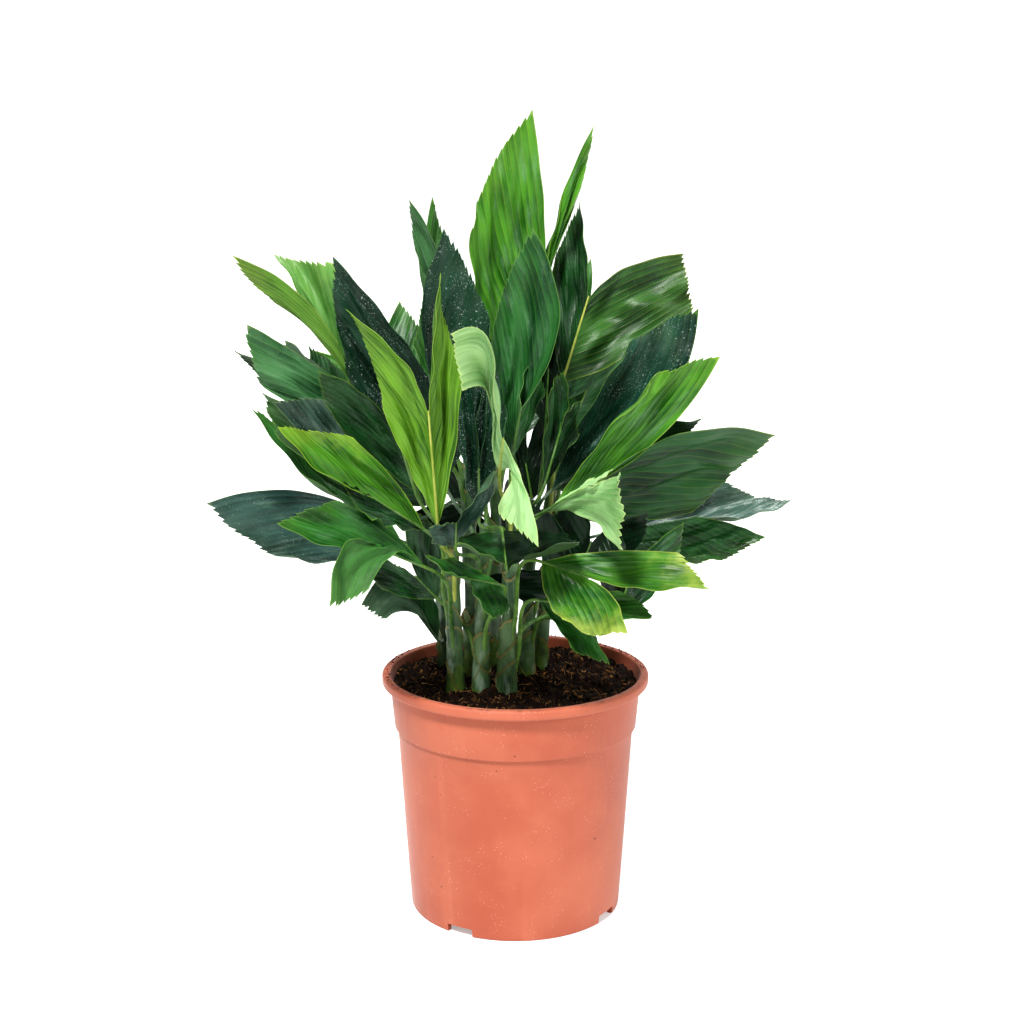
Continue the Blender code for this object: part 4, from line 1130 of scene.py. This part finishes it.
leaf("leaf_left_rippled", "cane_middle_left", 285, -160, (-75, -18, 307), (-100, -26, 340),
     lobe((-155, -58, 381), 20, shoulder=(-142, -58, 341), belly=0.5, inner=3, look="silver"),
     lobe((-140, -8, 367), 12, along=0.8, look="grey"))
leaf("leaf_upper_left_folded", "cane_middle_left", 270, -140, (-97, -44, 340), (-104, -44, 368),
     lobe((-163, -58, 420), -13, along=0.5, inner=3, belly=0.2, bend=(3, 0, 6), wave=0.5,
          look="olive_pale"),
     lobe((-144, -22, 420), 22, shoulder=(-107, -38, 416), inner=2, belly=0.3, end=0.14, look="pale"))
leaf("leaf_back_left_narrow", "cane_back_left", 235, -150, (-73, 21, 281), (-116, 15, 327),
     lobe((-178, 13, 358), -5, inner=3),
     lobe((-130, 29, 360), 12), look="dark")

# Middle of the crown
leaf("leaf_middle_left_dusty", "cane_front_middle", 240, -150, (-43, -29, 284), (-51, -49, 350),
     lobe((-105, -62, 420), 23, along=0.56, inner=2),
     lobe((-40, -58, 435), 26), look="dusty", stalk="grey")
leaf("leaf_upper_left_twisted", "cane_back_middle", 285, -160, (-47, 5, 309), (-39, 5, 365),
     lobe((-64, -6, 451), -8, inner=9),
     lobe((-28, 8, 405), 6), look="silver")
leaf("leaf_middle_tall", "cane_front_right", 232, 80, (-2, -29, 299), (3, -46, 329),
     lobe((9, -32, 435), 17, along=0.5, inner=20),
     lobe((15, -20, 365), 8), look="silvered", faces=(0.1, -1, 0.1))
leaf("leaf_middle_narrow", "cane_front_right", 250, -130, (-22, -46, 262), (-22, -49, 294),
     lobe((-26, -58, 371), 10),
     lobe((-11, -55, 360), 8), look="dusty")
leaf("leaf_middle_right_short", "cane_middle_right", 240, -160, (18, -23, 280), (27, -34, 315),
     lobe((28, -39, 351), 6, along=0.85),
     lobe((40, -31, 333), 5), look="dark")
leaf("leaf_top", "cane_middle_right", 256, -155, (-2, 8, 345), (19, 5, 413),
     lobe((10, 0, 504), 33, along=0.52, inner=2),
     lobe((48, 16, 495), -1, along=0.4, inner=4, belly=0.1, cup=2, roll=40),
     look="bright")
leaf("leaf_upper_right_broad", "cane_back_right", 265, -80, (29, 0, 340), (45, 10, 391),
     lobe((39, 26, 449), 10, inner=2, look="dark"),
     lobe((104, 16, 417), 25, along=0.82, inner=8, look="olive", pleat=0.05, wave=3.4),
     stalk="yellow")
# The inner leaves below have the near black finish, which paints in the shade inside the crown
leaf("leaf_inner_left", "cane_front_middle", 240, 80, (-20, 27, 293), (-20, 32, 324),
     lobe((-32, 27, 377), 11),
     lobe((-15, 34, 388), 10), look="painted_shade")
leaf("leaf_inner_right", "cane_middle_right", 250, 40, (19, 21, 307), (21, 29, 344),
     lobe((9, 32, 394), 10),
     lobe((30, 40, 406), 10), look="painted_shade")
leaf("leaf_inner_back", "cane_middle_right", 252, 100, (11, 40, 258), (7, 44, 280),
     lobe((-1, 57, 324), 12),
     lobe((23, 52, 321), 12), look="painted_shade")

# Low inside the crown and half hidden, most of them in the near black finish that paints in the shade there
leaf("leaf_low_inner_left", "cane_front_middle", 173, 150, (-49, -11, 205), (-62, -15, 220),
     lobe((-66, -28, 267), 13),
     lobe((-100, -14, 234), 12), look="dark", faces=(-0.5, -1, 0.2))
leaf("leaf_low_inner_middle", "cane_front_right", 182, 15, (42, -10, 208), (24, -10, 220),
     lobe((5, -20, 269), 11),
     lobe((-19, -3, 217), 11), look="painted_shade", faces=(-0.5, -1, 0))
leaf("leaf_low_inner_right", "cane_middle_right", 195, -15, (42, -11, 226), (47, -15, 242),
     lobe((80, -35, 264), 15),
     lobe((34, -11, 277), 15), look="painted_shade", faces=(-0.5, -1, 0.1))
leaf("leaf_low_outer_right", "cane_middle_right", 178, -40, (62, -53, 203), (68, -45, 223),
     lobe((102, -36, 259), 11, look="dark"),
     lobe((59, -23, 262), 11, look="painted_shade"), faces=(-0.3, -1, 0.2))
leaf("leaf_inner_back_left", "cane_middle_left", 194, 45, (-22, 21, 252), (-37, 21, 259),
     lobe((-58, 20, 292), 13),
     lobe((-72, 19, 250), 13), look="painted_shade", faces=(-0.3, -1, 0.1))
leaf("leaf_inner_back_low", "cane_back_right", 193, 135, (-13, 53, 219), (-15, 50, 234),
     lobe((-4, 50, 269), 14),
     lobe((-35, 40, 257), 14), look="painted_shade", faces=(0.3, -1, 0.1))

# Right side
leaf("leaf_right_dusty", "cane_middle_right", 225, -60, (23, -10, 274), (60, -10, 302),
     lobe((110, -20, 387), 19, along=0.65, inner=17, look="dusty_blue"),
     lobe((119, 5, 315), 14, along=0.75, look="dark"), stalk="grey")
leaf("leaf_right_bright", "cane_front_right", 240, 35, (25, -32, 269), (46, -42, 282),
     lobe((119, -58, 362), 17, along=0.65, inner=11, look="bright"),
     lobe((160, -13, 308), 42, inner=23, end=0.2, look="forest"))
leaf("leaf_right_rippled", "cane_back_right", 205, -45, (53, 0, 243), (116, 19, 251),
     lobe((182, 52, 257), 25, along=0.72, look="grey"),
     lobe((161, 21, 237), 17, along=0.5, inner=3, look="forest", ripple=1.5),
     stalk="grey")

# Back of the crown
leaf("leaf_back_left_upright", "cane_back_middle", 245, -155, (-42, 26, 293), (-48, 37, 343),
     lobe((-58, 47, 397), 10),
     lobe((-52, 58, 451), 5), look="mid")
leaf("leaf_back_upper_left", "cane_back_left", 245, 130, (-76, 63, 293), (-90, 79, 324),
     lobe((-140, 116, 347), 18, look="bright"),
     lobe((-78, 116, 381), 20, look="mid"), side=(0, -1, 0.6))
leaf("leaf_back_low_left", "cane_back_left", 210, 90, (-50, 52, 255), (-70, 74, 265),
     lobe((-125, 116, 267), 20),
     lobe((-87, 131, 303), 18), look="dark", side=(0, -1, 2))
leaf("leaf_back_middle", "cane_back_middle", 230, 110, (-7, 63, 293), (-5, 94, 302),
     lobe((-32, 147, 315), 18, look="mid"),
     lobe((21, 147, 315), 18, look="silvered"), side=(0, -1, 2))
leaf("leaf_back_upright", "cane_back_middle", 280, -10, (-2, 46, 322), (-7, 63, 353),
     lobe((-13, 89, 409), 14, look="mid"),
     lobe((22, 100, 396), 16, look="bright"), side=(0, -1, 0.5))
leaf("leaf_back_right_inner", "cane_back_right", 250, -25, (29, 32, 324), (38, 47, 361),
     lobe((49, 63, 412), 10, look="mid"),
     lobe((82, 79, 384), 16, look="silver"), side=(0, -1, 0.5))
leaf("leaf_back_upper_right", "cane_back_right", 262, 65, (36, 63, 300), (50, 79, 331),
     lobe((96, 121, 346), 18, look="silvered"),
     lobe((47, 116, 388), 20, look="mid"), side=(0, -1, 0.6))
leaf("leaf_back_low_right", "cane_back_right", 215, 65, (29, 52, 262), (50, 74, 271),
     lobe((107, 116, 274), 20, look="dark"),
     lobe((66, 131, 317), 18, look="olive"), side=(0, -1, 2))
leaf("leaf_back_right_low", "cane_back_right", 190, 0, (48, 32, 246), (75, 47, 253),
     lobe((135, 84, 256), 14, look="dark"),
     lobe((118, 94, 288), 14, look="dusty"), side=(0, -1, 1))
